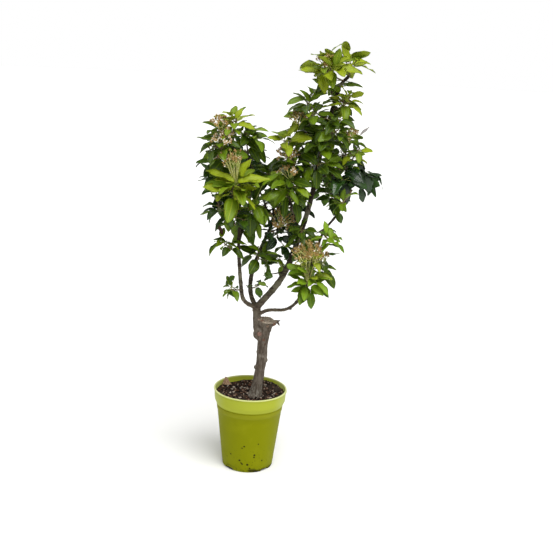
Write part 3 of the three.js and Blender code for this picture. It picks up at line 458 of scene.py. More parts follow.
def grow_mass(mass, taken):
    """The spurs and leaves of a mass, by its seed, in the space that is left to it."""
    draw = Draw(mass["seed"])
    stem, tip = mass["stem"], mass["tip"]
    phase = draw.between(0, 2 * math.pi)
    spurs = []
    for i in range(mass["spur_count"]):
        at = 0.35 + 0.6 * (i + draw.between(0.2, 0.8)) / mass["spur_count"]
        foot = bow(*stem, at)
        heading = side_heading(mass, stem, at, 0.02, draw.between(45, 80), phase + i * GOLDEN_ANGLE)
        end = add(foot, times(heading, mass["reach"] * draw.between(0.6, 1.15)))
        if cell(end) not in taken and cell(mix(foot, end, 0.6)) not in taken:
            spurs.append((foot, end, heading))
    own, margin = set(), set()

    def fits(leaf):
        if not settle(leaf, mass, taken, own, margin):
            return False
        hold(margin, leaf["cells"][INNER_CELLS:])
        return True

    last = unit(less(tip, bow(*stem, 0.9)))
    mass["sprays"] = [(end, heading, rosette(mass, mass["size"], mass["leaf_count"], end, heading, draw, fits))
                      for _, end, heading in reversed(spurs + [(None, tip, last)])]
    mass["spurs"] = spurs
    for _, _, leaves in mass["sprays"]:
        for leaf in leaves:
            hold(taken, leaf["cells"])
            hold(taken, [cell(mix(leaf["root"], leaf["base"], share)) for share in (0.4, 0.8)])
    hold(taken, stem_cells(stem))
    for foot, end, _ in spurs:
        hold(taken, [cell(mix(foot, end, i / 4)) for i in range(5)])


def grow_truss(mass, taken):
    """The tips of the dried flower stalks that stand above the end of a mass."""
    count, long = mass["truss"]
    draw = Draw(mass["seed"] + 5000)
    mass["stalk_tips"] = []
    for i in range(count):
        polar = math.radians(8 + 50 * (i + 0.5) / count)
        heading = lean(UP, polar, i * GOLDEN_ANGLE + draw.between(-0.3, 0.3))
        tip = add(mass["tip"], times(heading, long * draw.between(0.8, 1.1)))
        cells = [cell(mix(mass["tip"], tip, k / 4)) for k in (1, 2, 3, 4)]
        if taken.isdisjoint(cells):
            mass["stalk_tips"].append(tip)
            hold(taken, cells)


def grow_finer(mass, full):
    """Finer twigs between the first ones, with smaller rosettes, within the same reach."""
    draw = Draw(mass["finer_seed"] + 20000)
    hosts = [mass["stem"]] + [(foot, mix(foot, end, 0.5), end) for foot, end, _ in mass["spurs"]]
    phase = draw.between(0, 2 * math.pi)
    mass["finer"] = []
    for i in range(mass["finer_count"]):
        host = hosts[i % len(hosts)]
        at = draw.between(0.35, 0.97)
        foot = bow(*host, at)
        heading = side_heading(mass, host, at, 0.03, draw.between(35, 85), phase + i * GOLDEN_ANGLE)
        end = add(foot, times(heading, mass["reach"] * draw.between(0.3, 1.0)))
        size = mass["size"] * draw.between(0.74, 1.0)
        if cell(end) in full or cell(mix(foot, end, 0.6)) in full:
            continue
        leaves = rosette(mass, size, 4, end, heading, draw, lambda leaf: settle(leaf, mass, full, full, set()))
        if leaves:
            mass["finer"].append((foot, end))
            mass["sprays"].append((end, heading, leaves))


def stem_cells(stem):
    steps = int(length(less(stem[2], stem[0])) / CELL) + 2
    return [cell(bow(*stem, i / steps)) for i in range(steps + 1)]


def floats(places):
    return [tuple(float(value) for value in place) for place in places]


def lay_limbs():
    """Each limb's places and radii, starting on its parent."""
    limbs = {}
    for name, (parent, at, radii, route) in LIMB_ROWS.items():
        places = floats(route)
        if parent:
            places.insert(0, spline(limbs[parent]["places"], at))
        limbs[name] = {"places": places, "radii": radii}
    return limbs


def limb_cells(limb):
    """The cubes along a limb: a thick one fills them out to its surface."""
    foot, tip = limb["radii"]
    cells = []
    for i in range(101):
        centre = spline(limb["places"], i / 100)
        reach = foot + (tip - foot) * i / 100
        offsets = (-reach, 0.0, reach) if reach > CELL else (0.0,)
        cells += [cell(add(centre, (x, y, z))) for x in offsets for y in offsets for z in offsets]
    return cells


def grow_tree():
    """All masses, grown in turn: first as in the part's source, then the finer twigs."""
    limbs = lay_limbs()
    masses = {}
    for name, row in MASS_ROWS.items():
        bough, at, tip, spurs, reach, leaves, size, hang, tint, seed, finer, finer_seed, face, truss = row
        start = spline(limbs[bough]["places"], at)
        end = tuple(float(value) for value in tip)
        knee = add(mix(start, end, 0.5), (0.0, 0.0, -0.12 * length(less(end, start))))
        masses[name] = {
            "bough": bough, "tip": end, "spur_count": spurs, "reach": reach, "leaf_count": leaves, "size": size,
            "hang": hang, "tint": tint, "seed": seed, "finer_count": finer, "finer_seed": finer_seed,
            "face": face, "truss": truss, "stem": (start, knee, end)}
    grown = set()
    for limb in limbs.values():
        hold(grown, limb_cells(limb))
    stems = {}
    for name, mass in masses.items():
        stems[name] = set()
        hold(stems[name], stem_cells(mass["stem"]))
    for name, mass in masses.items():
        others = set().union(*(cells for other, cells in stems.items() if other != name))
        taken = grown | others
        before = set(taken)
        grow_mass(mass, taken)
        grow_truss(mass, taken)
        grown |= taken - before
    full = {cell(spline(limb["places"], i / 100)) for limb in limbs.values() for i in range(101)}
    for mass in masses.values():
        for _, _, leaves in mass["sprays"]:
            for leaf in leaves:
                full.update(leaf["cells"])
    for mass in masses.values():
        grow_finer(mass, full)
    return limbs, masses


LIMBS, MASSES = grow_tree()


def linear(code):
    """A colour written as six hex digits, as Blender's scene-linear red, green, blue and alpha."""
    values = [int(code[i:i + 2], 16) / 255 for i in (0, 2, 4)]
    return [v / 12.92 if v <= 0.04045 else ((v + 0.055) / 1.055) ** 2.4 for v in values] + [1.0]


class Term:
    """A value in a material's nodes: sums of terms add their own Math nodes."""

    def __init__(self, sheet, socket):
        self.sheet = sheet
        self.socket = socket

    def math(self, operation, *values):
        return self.sheet.node("Math", {"operation": operation}, dict(enumerate(values)))

    def __add__(self, other):
        return self.math("ADD", self, other)

    def __sub__(self, other):
        return self.math("SUBTRACT", self, other)

    def __rsub__(self, other):
        return self.math("SUBTRACT", other, self)

    def __mul__(self, other):
        return self.math("MULTIPLY", self, other)

    def __truediv__(self, other):
        return self.math("DIVIDE", self, other)

    def __abs__(self):
        return self.math("ABSOLUTE", self)

    def sine(self):
        return self.math("SINE", self)

    def step(self, low, high):
        """0 below low and 1 above high, with a soft step between."""
        return self.sheet.node("MapRange", {"interpolation_type": "SMOOTHSTEP", "clamp": True},
                               {"Value": self, "From Min": low, "From Max": high})

    __radd__ = __add__
    __rmul__ = __mul__


class Sheet:
    """The nodes of one material."""

    def __init__(self, name):
        self.material = bpy.data.materials.new(name)
        self.material.use_nodes = True
        self.tree = self.material.node_tree
        self.tree.nodes.clear()

    def node(self, kind, settings=None, values=None, output=0):
        made = self.tree.nodes.new("ShaderNode" + kind)
        for key, value in (settings or {}).items():
            if key == "stops":
                ramp = made.color_ramp
                while len(ramp.elements) < len(value):
                    ramp.elements.new(0.5)
                for element, (place, colour) in zip(ramp.elements, value):
                    element.position = place
                    element.color = colour
            else:
                setattr(made, key, value)
        for key, value in (values or {}).items():
            if isinstance(value, Term):
                self.tree.links.new(value.socket, made.inputs[key])
            else:
                made.inputs[key].default_value = value
        return Term(self, made.outputs[output])

    def place(self):
        return self.node("TexCoord", output=3)

    def axis(self, vector, index):
        return self.node("SeparateXYZ", values={0: vector}, output=index)

    def stretched(self, vector, scale):
        return self.node("Mapping", values={"Vector": vector, "Scale": scale})

    def grain(self, vector, scale, detail=3.0, roughness=0.55):
        return self.node("TexNoise", values={"Vector": vector, "Scale": scale, "Detail": detail,
                                             "Roughness": roughness})

    def spots(self, vector, scale, size, share):
        """Round spots, in a share of the cells of a scattered grid."""
        near = self.node("TexVoronoi", values={"Vector": vector, "Scale": scale})
        pick = self.node("TexVoronoi", values={"Vector": vector, "Scale": scale}, output=1)
        return (1 - near.step(size * 0.8, size)) * (1 - self.axis(pick, 0).step(share - 0.01, share))

    def largest(self, first, second):
        return self.node("Math", {"operation": "MAXIMUM"}, {0: first, 1: second})

    def distance(self, vector, point):
        """How far a place is from a point in millimetres, in metres."""
        return self.node("VectorMath", {"operation": "DISTANCE"},
                         {0: vector, 1: tuple(value * MM for value in point)}, output=1)

    def blend(self, share, first, second):
        """Colour first where share is 0 and second where it is 1."""
        return self.node("Mix", {"data_type": "RGBA"}, {0: share, 6: first, 7: second}, output=2)

    def tinted(self, colour, by):
        """A colour made brighter or darker by a term near 1."""
        return self.node("VectorMath", {"operation": "SCALE"}, {0: colour, "Scale": by})

    def bump(self, height, strength, distance):
        return self.node("Bump", values={"Strength": strength, "Distance": distance, "Height": height})

    def finish(self, **values):
        names = {"colour": "Base Color", "roughness": "Roughness", "normal": "Normal",
                 "specular": "Specular IOR Level"}
        shader = self.node("BsdfPrincipled", values={names[key]: value for key, value in values.items()})
        output = self.tree.nodes.new("ShaderNodeOutputMaterial")
        self.tree.links.new(shader.socket, output.inputs["Surface"])
        self.material.diffuse_color = (0.5, 0.5, 0.5, 1.0)
        return self.material


def plastic_finish(colour, body):
    """Moulded lime plastic: paler along the strip under the band, with painted sheen on the band's flanks and a
    painted highlight along the lip, and specked with soil low down.
    """
    sheet = Sheet("lime_plastic")
    place = sheet.place()
    height = sheet.axis(place, 2)
    cloud = sheet.grain(place, 14.0, 4.0)
    fine = sheet.grain(place, 260.0, 2.0)
    band = height.step(0.187, 0.192)
    shade = sheet.blend(band, linear(body), linear(colour))
    # A strip just under the band turns paler, in cloudy patches
    strip = height.step(0.1705, 0.1725) * (1 - height.step(0.1845, 0.1865))
    pale_strip = sheet.blend(strip * (0.06 + 0.3 * cloud), shade, linear("a3a23c"))
    faded_and_sheen = sheet.blend(cloud.step(0.52, 0.8) * 0.2, pale_strip, linear("a5a820"))
    across = sheet.axis(place, 0)
    # Painted sheen: the band turns paler towards its left and right flanks, standing in for a grazing reflection
    flank_sheen = (across * across).step(0.0042, 0.0098) * band
    faded_and_sheen = sheet.blend(flank_sheen * 0.4, faded_and_sheen, linear("bcc58a"))
    # Painted highlight: a pale cream line along the top edge of the lip
    faded_and_sheen = sheet.blend(height.step(0.2295, 0.2312) * 0.6, faded_and_sheen, linear("dde0a8"))
    dots = sheet.spots(place, 150.0, 0.2, 0.5) * (1 - height.step(0.02, 0.11))
    front = sheet.node("CombineXYZ", values={0: across, 1: 0.0, 2: height})
    specks = dots * 0.7
    for (right, up), radius in MUD_SPECKS:
        away = sheet.distance(front, (right, 0.0, up))
        speck = 1 - (away - fine * 0.001).step(radius * 1.1 * MM, (radius * 1.5 + 0.8) * MM)
        specks = sheet.largest(specks, speck * (1 - sheet.axis(place, 1).step(-0.03, -0.02)))
    smear = sheet.grain(sheet.stretched(place, (1.0, 1.0, 2.5)), 38.0, 5.0, 0.65)
    low_dirt = (1 - height.step(0.002, 0.022)) * smear.step(0.46, 0.62)
    dirt = sheet.largest(specks, low_dirt)
    final = sheet.blend(dirt, faded_and_sheen, linear("241c0e"))
    return sheet.finish(
        colour=final, roughness=0.45 + 0.18 * cloud + 0.4 * dirt, specular=0.06,
        normal=sheet.bump(fine * 0.25 + cloud, 0.12, 0.002))


def soil_finish(name, dark, light, scale):
    sheet = Sheet(name)
    place = sheet.place()
    crumbs = sheet.grain(place, scale, 6.0, 0.7)
    return sheet.finish(
        colour=sheet.blend(crumbs.step(0.35, 0.7), linear(dark), linear(light)),
        roughness=0.95, specular=0.2, normal=sheet.bump(crumbs, 0.6, 0.002))


def bark_finish(trunk, bough):
    """Grey ridged bark on the trunk and smoother brown bark above, with wounds and the grey saw cut."""
    sheet = Sheet("bark")
    place = sheet.place()
    x, y, height = (sheet.axis(place, index) for index in range(3))
    ridges = sheet.grain(sheet.stretched(place, (1.0, 1.0, 0.28)), 150.0, 6.0, 0.68)
    patches = sheet.grain(place, 34.0, 4.0, 0.6)
    rings = sheet.grain(sheet.stretched(place, (0.35, 0.35, 2.2)), 120.0, 3.0, 0.6)
    wrinkles = sheet.grain(sheet.stretched(place, (0.6, 0.6, 2.6)), 260.0, 4.0, 0.65)
    upper = sheet.largest(height.step(0.43, 0.475), (height + x * 0.6).step(0.477, 0.487))
    old = sheet.blend(ridges.step(0.36, 0.62), linear("463b31"), linear(trunk))
    old = sheet.blend(patches.step(0.52, 0.72) * 0.8, old, linear("827a6f"))
    old = sheet.blend(patches.step(0.3, 0.44) * -0.5 + 0.5, old, linear("574a3c"))
    young = sheet.blend(rings.step(0.4, 0.66), linear("362e25"), linear(bough))
    young = sheet.blend(patches.step(0.5, 0.64) * 0.7, young, linear("777360"))
    young = sheet.blend(patches.step(0.3, 0.45) * -0.6 + 0.6, young, linear("41382c"))
    collar = sheet.blend(wrinkles.step(0.4, 0.6), linear("35291f"), linear("695a4c"))
    young = sheet.blend((1 - height.step(0.485, 0.53)) * 0.6, young, collar)
    # Painted shade: up in the crown the boughs darken in patches towards near black, where the leaves shade them
    shaded = height.step(0.52, 0.68) * (1 - patches.step(0.46, 0.7))
    young = sheet.blend(shaded * 0.85, young, linear("22160e"))
    foot = 1 - height.step(0.236, 0.268)
    creases = sheet.grain(sheet.stretched(place, (1.0, 1.0, 0.1)), 330.0, 4.0, 0.7)
    old = sheet.blend(foot * (creases.step(0.5, 0.6) * 0.75), old, linear("8f8a80"))
    old = sheet.blend(foot * (1 - creases.step(0.36, 0.46)) * 0.8, old, linear("3b342c"))
    colour = sheet.blend(upper, old, young)
    for centre, radius, pale, dark in WOUNDS:
        wound = 1 - (sheet.distance(place, centre) + ridges * 0.008).step((radius * 0.55 + 4) * MM, (radius + 5) * MM)
        scar = sheet.blend(wrinkles.step(0.4, 0.6), linear(dark), linear(pale))
        colour = sheet.blend(wound * 0.9, colour, scar)
    top = STUB_LEVELS[-1][0]
    right, back = x - top[0] * MM, y - top[1] * MM
    above = height - top[2] * MM - right * STUB_FALL[0] - back * STUB_FALL[1]
    from_pith = sheet.node("VectorMath", {"operation": "LENGTH"}, {
        0: sheet.node("CombineXYZ", values={0: right * 0.8, 1: back, 2: 0.0})}, output=1)
    cut = above.step(-0.0016, -0.0007) * (1 - above.step(0.003, 0.006)) * height.step(0.43, 0.432)
    cut = cut * (1 - from_pith.step(0.022, 0.026))
    growth_rings = ((from_pith + patches * 0.002) * 3200).sine() * 0.5 + 0.5
    sawn = sheet.blend(growth_rings * 0.4, linear("a09384"), linear("75675a"))
    sawn = sheet.blend(wrinkles.step(0.5, 0.62) * 0.7, sawn, linear("cdbfa8"))
    sawn = sheet.blend(patches.step(0.5, 0.6) * 0.8, sawn, linear("6e4534"))
    colour = sheet.blend(cut, colour, sawn)
    relief = ridges * (1.0 - 0.5 * upper) + rings * 0.6 * upper + wrinkles * 0.2
    return sheet.finish(colour=colour, roughness=0.82 + 0.12 * patches, specular=0.3,
                        normal=sheet.bump(relief, 0.7, 0.0016))


def leaf_finish(name, colour, vein, gloss, shine, veins=0.5):
    """A leaf's face: paler midrib and side veins on its own map, and cloudy colour over the crown."""
    sheet = Sheet(name)
    place = sheet.place()
    own = sheet.node("UVMap", {"uv_map": "leaf"})
    across, along = (sheet.axis(own, index) for index in range(2))
    aside = abs(across - 0.5)
    midrib = 1 - aside.step(0.012, 0.055)
    side_veins = ((along * 9.0 - aside * 5.5) * 2 * math.pi).sine().step(0.72, 0.98) * aside.step(0.02, 0.1)
    cloud = sheet.grain(place, 70.0, 3.0)
    mottle = sheet.grain(place, 420.0, 2.0)
    shade = sheet.tinted(linear(colour)[:3], 0.72 + 0.42 * cloud + 0.14 * mottle)
    edge = sheet.blend(aside.step(0.4, 0.5) * 0.35, shade, linear(vein))
    final = sheet.blend(midrib * 0.5 + side_veins * 0.14 * veins, edge, linear(vein))
    relief = mottle * 0.35 - side_veins * veins - midrib * 1.2
    return sheet.finish(colour=final, roughness=gloss + 0.16 * cloud, specular=shine,
                        normal=sheet.bump(relief, 0.45, 0.0008))


def plain_finish(name, dark, light, scale, roughness, stretch=(1.0, 1.0, 1.0)):
    sheet = Sheet(name)
    grain = sheet.grain(sheet.stretched(sheet.place(), stretch), scale, 4.0, 0.6)
    return sheet.finish(colour=sheet.blend(grain.step(0.3, 0.7), linear(dark), linear(light)),
                        roughness=roughness, normal=sheet.bump(grain, 0.4, 0.0006))


def deselect():
    if bpy.context.object and bpy.context.object.mode != "OBJECT":
        bpy.ops.object.mode_set(mode="OBJECT")
    bpy.ops.object.select_all(action="DESELECT")


def choose(piece):
    """Selects a piece alone and makes it the active one."""
    deselect()
    piece.select_set(True)
    bpy.context.view_layer.objects.active = piece


def apply_modifier(piece, kind, **settings):
    """Adds a modifier to a piece and applies it."""
    modifier = piece.modifiers.new(kind.lower(), kind)
    for key, value in settings.items():
        setattr(modifier, key, value)
    bpy.context.view_layer.objects.active = piece
    bpy.ops.object.modifier_apply(modifier=modifier.name)


def shaped(piece, move):
    """Moves all corners of a piece by a function of their places and normals, in metres."""
    count = len(piece.data.vertices)
    places = np.empty(count * 3)
    normals = np.empty(count * 3)
    piece.data.vertices.foreach_get("co", places)
    piece.data.vertex_normals.foreach_get("vector", normals)
    moved = move(places.reshape(-1, 3), normals.reshape(-1, 3))
    piece.data.vertices.foreach_set("co", np.asarray(moved).ravel())
    piece.data.update()


def settled(piece, name, materials, nodes, angle=None):
    """Names a finished piece, dresses it, and lets it stand for its nodes."""
    choose(piece)
    bpy.ops.object.transform_apply(location=True, rotation=True, scale=True)
    piece.name = name
    piece.data.name = name
    if materials:
        piece.data.materials.clear()
        for material in materials:
            piece.data.materials.append(material)
    if angle is not None:
        bpy.ops.object.shade_smooth_by_angle(angle=math.radians(angle))
    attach(piece, "root")
    if nodes:
        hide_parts(*nodes)
    deselect()
    return piece


def turned(rings, sides):
    """A closed turned form: a disc drawn out ring by ring, through pairs of radius and height."""
    deselect()
    (radius, height), *rest = rings
    bpy.ops.mesh.primitive_circle_add(vertices=sides, radius=radius * MM, fill_type="NGON",
                                      location=(0, 0, height * MM))
    bpy.ops.object.mode_set(mode="EDIT")
    bpy.ops.mesh.select_all(action="SELECT")
    for next_radius, next_height in rest:
        bpy.ops.mesh.extrude_region_move(
            TRANSFORM_OT_translate={"value": (0, 0, (next_height - height) * MM)})
        grow = next_radius / radius
        bpy.ops.transform.resize(value=(grow, grow, 1), center_override=(0, 0, next_height * MM))
        radius, height = next_radius, next_height
    bpy.ops.mesh.select_all(action="SELECT")
    bpy.ops.mesh.normals_make_consistent(inside=False)
    bpy.ops.object.mode_set(mode="OBJECT")
    piece = bpy.context.object
    bpy.ops.object.transform_apply(location=True, rotation=True, scale=True)
    return piece


def limb_tube(places, radii, sides=12):
    """A round limb through places in millimetres, with a radius at each, made from a bevelled curve."""
    deselect()
    bpy.ops.curve.primitive_nurbs_path_add(location=(0, 0, 0))
    curve = bpy.context.object.data
    curve.splines.clear()
    line = curve.splines.new("POLY")
    line.points.add(len(places) - 1)
    for point, place, radius in zip(line.points, places, radii):
        point.co = (place[0] * MM, place[1] * MM, place[2] * MM, 1)
        point.radius = radius
    curve.bevel_depth = MM
    curve.bevel_resolution = sides // 4
    curve.use_fill_caps = True
    curve.dimensions = "3D"
    bpy.ops.object.convert(target="MESH")
    return bpy.context.object


def lump(centre, size):
    """A rounded swelling."""
    deselect()
    bpy.ops.mesh.primitive_ico_sphere_add(subdivisions=3, radius=MM,
                                          location=[value * MM for value in centre], scale=size)
    return bpy.context.object


def joined(pieces):
    deselect()
    for piece in pieces:
        piece.select_set(True)
    bpy.context.view_layer.objects.active = pieces[0]
    bpy.ops.object.join()
    return bpy.context.object


def largest_shell(piece):
    """Parts a piece into its loose shells, and keeps the greatest."""
    choose(piece)
    bpy.ops.mesh.separate(type="LOOSE")
    shells = sorted(bpy.context.selected_objects, key=lambda shell: len(shell.data.vertices))
    for shell in shells[:-1]:
        bpy.data.objects.remove(shell)
    return shells[-1]


class Sheaf:
    """Many small shapes gathered into one mesh."""

    def __init__(self):
        self.corners, self.faces, self.finishes, self.maps = [], [], [], []

    def add(self, corners, faces, finish=0, maps=None):
        base = len(self.corners)
        self.corners += [(x * MM, y * MM, z * MM) for x, y, z in corners]
        self.faces += [[base + i for i in face] for face in faces]
        self.finishes += [finish] * len(faces) if isinstance(finish, int) else list(finish)
        self.maps += maps or [(0.5, 0.5)] * len(corners)

    def piece(self, name, materials, nodes, slot, smooth=True):
        mesh = bpy.data.meshes.new(name)
        mesh.from_pydata(self.corners, [], self.faces)
        for material in materials:
            mesh.materials.append(material)
        mesh.polygons.foreach_set("material_index", self.finishes)
        mesh.polygons.foreach_set("use_smooth", [smooth] * len(self.faces))
        corner_of = np.empty(len(mesh.loops), dtype=np.int32)
        mesh.loops.foreach_get("vertex_index", corner_of)
        layer = mesh.uv_layers.new(name="leaf")
        layer.data.foreach_set("uv", np.array(self.maps)[corner_of].ravel())
        mesh.update()
        piece = bpy.data.objects.new(name, mesh)
        bpy.context.scene.collection.objects.link(piece)
        return settled(piece, name, None, nodes)


def tube(places, radii, sides):
    """Corners and faces of a round twig through places, closed at both ends."""
    corners, aside = [], None
    for i, place in enumerate(places):
        ahead = unit(less(places[min(i + 1, len(places) - 1)], places[max(i - 1, 0)]))
        if aside is None:
            aside = crosswise(ahead)
        aside = unit(less(aside, times(ahead, dot(aside, ahead))))
        third = cross(ahead, aside)
        for k in range(sides):
            angle = 2 * math.pi * k / sides
            out = add(times(aside, math.cos(angle)), times(third, math.sin(angle)))
            corners.append(add(place, times(out, radii[i])))
    faces = [list(range(sides))[::-1]]
    for i in range(len(places) - 1):
        for k in range(sides):
            a, b = i * sides + k, i * sides + (k + 1) % sides
            faces.append([a, b, b + sides, a + sides])
    faces.append([(len(places) - 1) * sides + k for k in range(sides)])
    return corners, faces


class PotSettings(bpy.types.PropertyGroup):
    height: bpy.props.FloatProperty(
        name="Height", description="Height of the pot over its lip", default=0.233, min=0.1, unit="LENGTH")
    base_radius: bpy.props.FloatProperty(
        name="Base radius", description="Radius of the wall at the ground", default=0.073, min=0.02, unit="LENGTH")
    band_radius: bpy.props.FloatProperty(
        name="Band radius", description="Radius of the band under the lip", default=0.103, min=0.02, unit="LENGTH")
    lip_radius: bpy.props.FloatProperty(
        name="Lip radius", description="Radius of the lip", default=0.105, min=0.02, unit="LENGTH")
    wall: bpy.props.FloatProperty(
        name="Wall", description="Thickness of the plastic", default=0.0025, min=0.001, unit="LENGTH")
    colour: bpy.props.StringProperty(
        name="Band", description="Colour of the band as six hex digits", default="a8b038")
    body_colour: bpy.props.StringProperty(
        name="Body", description="Colour of the wall under the band as six hex digits", default="808400")


class SoilSettings(bpy.types.PropertyGroup):
    top: bpy.props.FloatProperty(
        name="Level", description="Height of the soil round the stem", default=0.2195, min=0.05, unit="LENGTH")
    crumb: bpy.props.FloatProperty(
        name="Crumb", description="Height of the lumps on the soil", default=0.0022, min=0, unit="LENGTH")
    chips: bpy.props.IntProperty(
        name="Chips", description="Number of loose chips on the soil", default=1300, min=0)


class BarkSettings(bpy.types.PropertyGroup):
    voxel: bpy.props.FloatProperty(
        name="Detail", description="Size of the smallest bark detail", default=0.001358, min=0.0008, unit="LENGTH")
    relief: bpy.props.FloatProperty(
        name="Relief", description="Depth of the ridges on the stem", default=0.0011, min=0, unit="LENGTH")
    trunk_colour: bpy.props.StringProperty(
        name="Trunk", description="Colour of the trunk's ridges as six hex digits", default="6a6156")
    bough_colour: bpy.props.StringProperty(
        name="Boughs", description="Colour of the boughs as six hex digits", default="69644f")


class LeafSettings(bpy.types.PropertyGroup):
    thickness: bpy.props.FloatProperty(
        name="Thickness", description="Thickness of a blade", default=0.0005, min=0.0001, unit="LENGTH")
    least_fold: bpy.props.FloatProperty(
        name="Least fold", description="Fold of the flattest blade along its midrib", default=0.04, min=0)
    greatest_fold: bpy.props.FloatProperty(
        name="Greatest fold", description="Fold of the most folded blade", default=0.6, min=0)
    wave: bpy.props.FloatProperty(
        name="Wave", description="Wave of a blade's edge against its length", default=0.045, min=0)


class StageSettings(bpy.types.PropertyGroup):
    floor: bpy.props.StringProperty(
        name="Floor", description="Colour of the floor as six hex digits", default="f2f2f0")
    key_power: bpy.props.FloatProperty(
        name="Key light", description="Strength of the overhead soft light", default=3.55, min=0)
    sky: bpy.props.FloatProperty(
        name="Surround", description="Strength of the white surround", default=0.285, min=0)


def soil_height(x, y, settings):
    """Height of the soil's surface in millimetres, with its crumbs."""
    away = math.hypot(x, y)
    slope = max(0.0, away - 64) / 33 * 1.5
    crumb = settings.crumb / MM
    lumps = noise.noise((x / 15, y / 15, 0.3)) * crumb + noise.noise((x / 6, y / 6, 4.7)) * crumb * 0.6
    mound = 1.5 * math.exp(-((math.hypot(x - STEM_X, y - STEM_Y) - STEM_ROOM) / 9) ** 2)
    mound += 5.5 * math.exp(-((x - 40) / 50) ** 2 - ((y - 75) / 32) ** 2)
    mound -= 3.0 * math.exp(-((x + 45) / 40) ** 2 - ((y - 75) / 25) ** 2)
    return settings.top / MM - slope + lumps + noise.noise((x / 2.6, y / 2.6, 9.1)) * 0.7 + mound


class PEAR_OT_pot(bpy.types.Operator):
    """Makes the nursery pot with its band, lip and drainage notches"""
    bl_idname = "pear.pot"
    bl_label = "Pot"

    def execute(self, context):
        settings = context.scene.pear_pot
        height, base, band, lip, wall = (value / MM for value in (
            settings.height, settings.base_radius, settings.band_radius, settings.lip_radius, settings.wall))
        band_foot, top = height - BAND_HEIGHT, WALL_TOP
        groove, strip = band_foot - GROOVE_DROP, band_foot - STRIP_DROP
        slope = (top - base) / band_foot

        def wall_at(level):
            return base + slope * level

        rings = [(base - 2.2, 0), (base - 1, 0.3), (base - 0.2, 1.2), (wall_at(2.5), 2.5)]
        rings += [(wall_at(level), level) for level in (12, 40, 80, 120, 150, strip - 1)]
        rings += [(wall_at(strip) + 0.7, strip + 0.4), (wall_at(strip + 1.5) + 1, strip + 1.5),
                  (wall_at(groove - 1) + 1, groove - 1), (wall_at(groove) + 0.6, groove),
                  (wall_at(groove + 0.6), groove + 0.6), (top, band_foot - 0.4), (top + 1.2, band_foot + 0.3)]
        rings += [(band - 2.6, band_foot + 10.5), (band - 1.7, band_foot + 12.5), (band - 1.2, band_foot + 16),
                  (band, height - 8), (band + 0.1, height - 5.4), (lip - 0.8, height - 4.2), (lip - 0.1, height - 3.2),
                  (lip, height - 2), (lip - 0.4, height - 0.7), (lip - 1.4, height)]
        rings += [(band - wall + 0.6, height - 0.1), (band - wall, height - 1), (band - 1.5 - wall, band_foot + 12.5),
                  (top - wall, band_foot), (wall_at(4) - wall, 4.2), (wall_at(3) - wall - 1.5, 3)]
        pot = turned(rings, 128)
        for i in range(NOTCHES):
            angle = math.pi / 4 + i * math.pi / 2
            reach = (base + 3) * MM
            deselect()
            bpy.ops.mesh.primitive_cube_add(
                size=1, location=(reach * math.cos(angle), reach * math.sin(angle), 0),
                rotation=(0, 0, angle), scale=[value * MM for value in NOTCH_BLOCK])
            cutter = context.object
            apply_modifier(cutter, "BEVEL", width=3 * MM, segments=3)
            apply_modifier(pot, "BOOLEAN", operation="DIFFERENCE", solver="EXACT", object=cutter)
            bpy.data.objects.remove(cutter)

        def handled(places, normals):
            turn = np.arctan2(places[:, 1], places[:, 0])
            away = np.hypot(places[:, 0], places[:, 1])
            high = np.clip((places[:, 2] - 0.15) / 0.08, 0, 1) ** 2
            oval = 1 + 0.006 * np.cos(2 * turn + 0.6) * high + 0.002 * np.cos(3 * turn - 1) * high
            moved = places.copy()
            moved[:, :2] *= oval[:, None]
            bent = np.exp(-((turn + 0.12) / 0.16) ** 2) * np.clip((away - 0.0995) / 0.005, 0, 1)
            moved[:, 2] -= bent * high * 0.004
            return moved

        shaped(pot, handled)
        settled(pot, "nursery_pot", [plastic_finish(settings.colour, settings.body_colour)], ["pot"],
                angle=32)
        return {"FINISHED"}


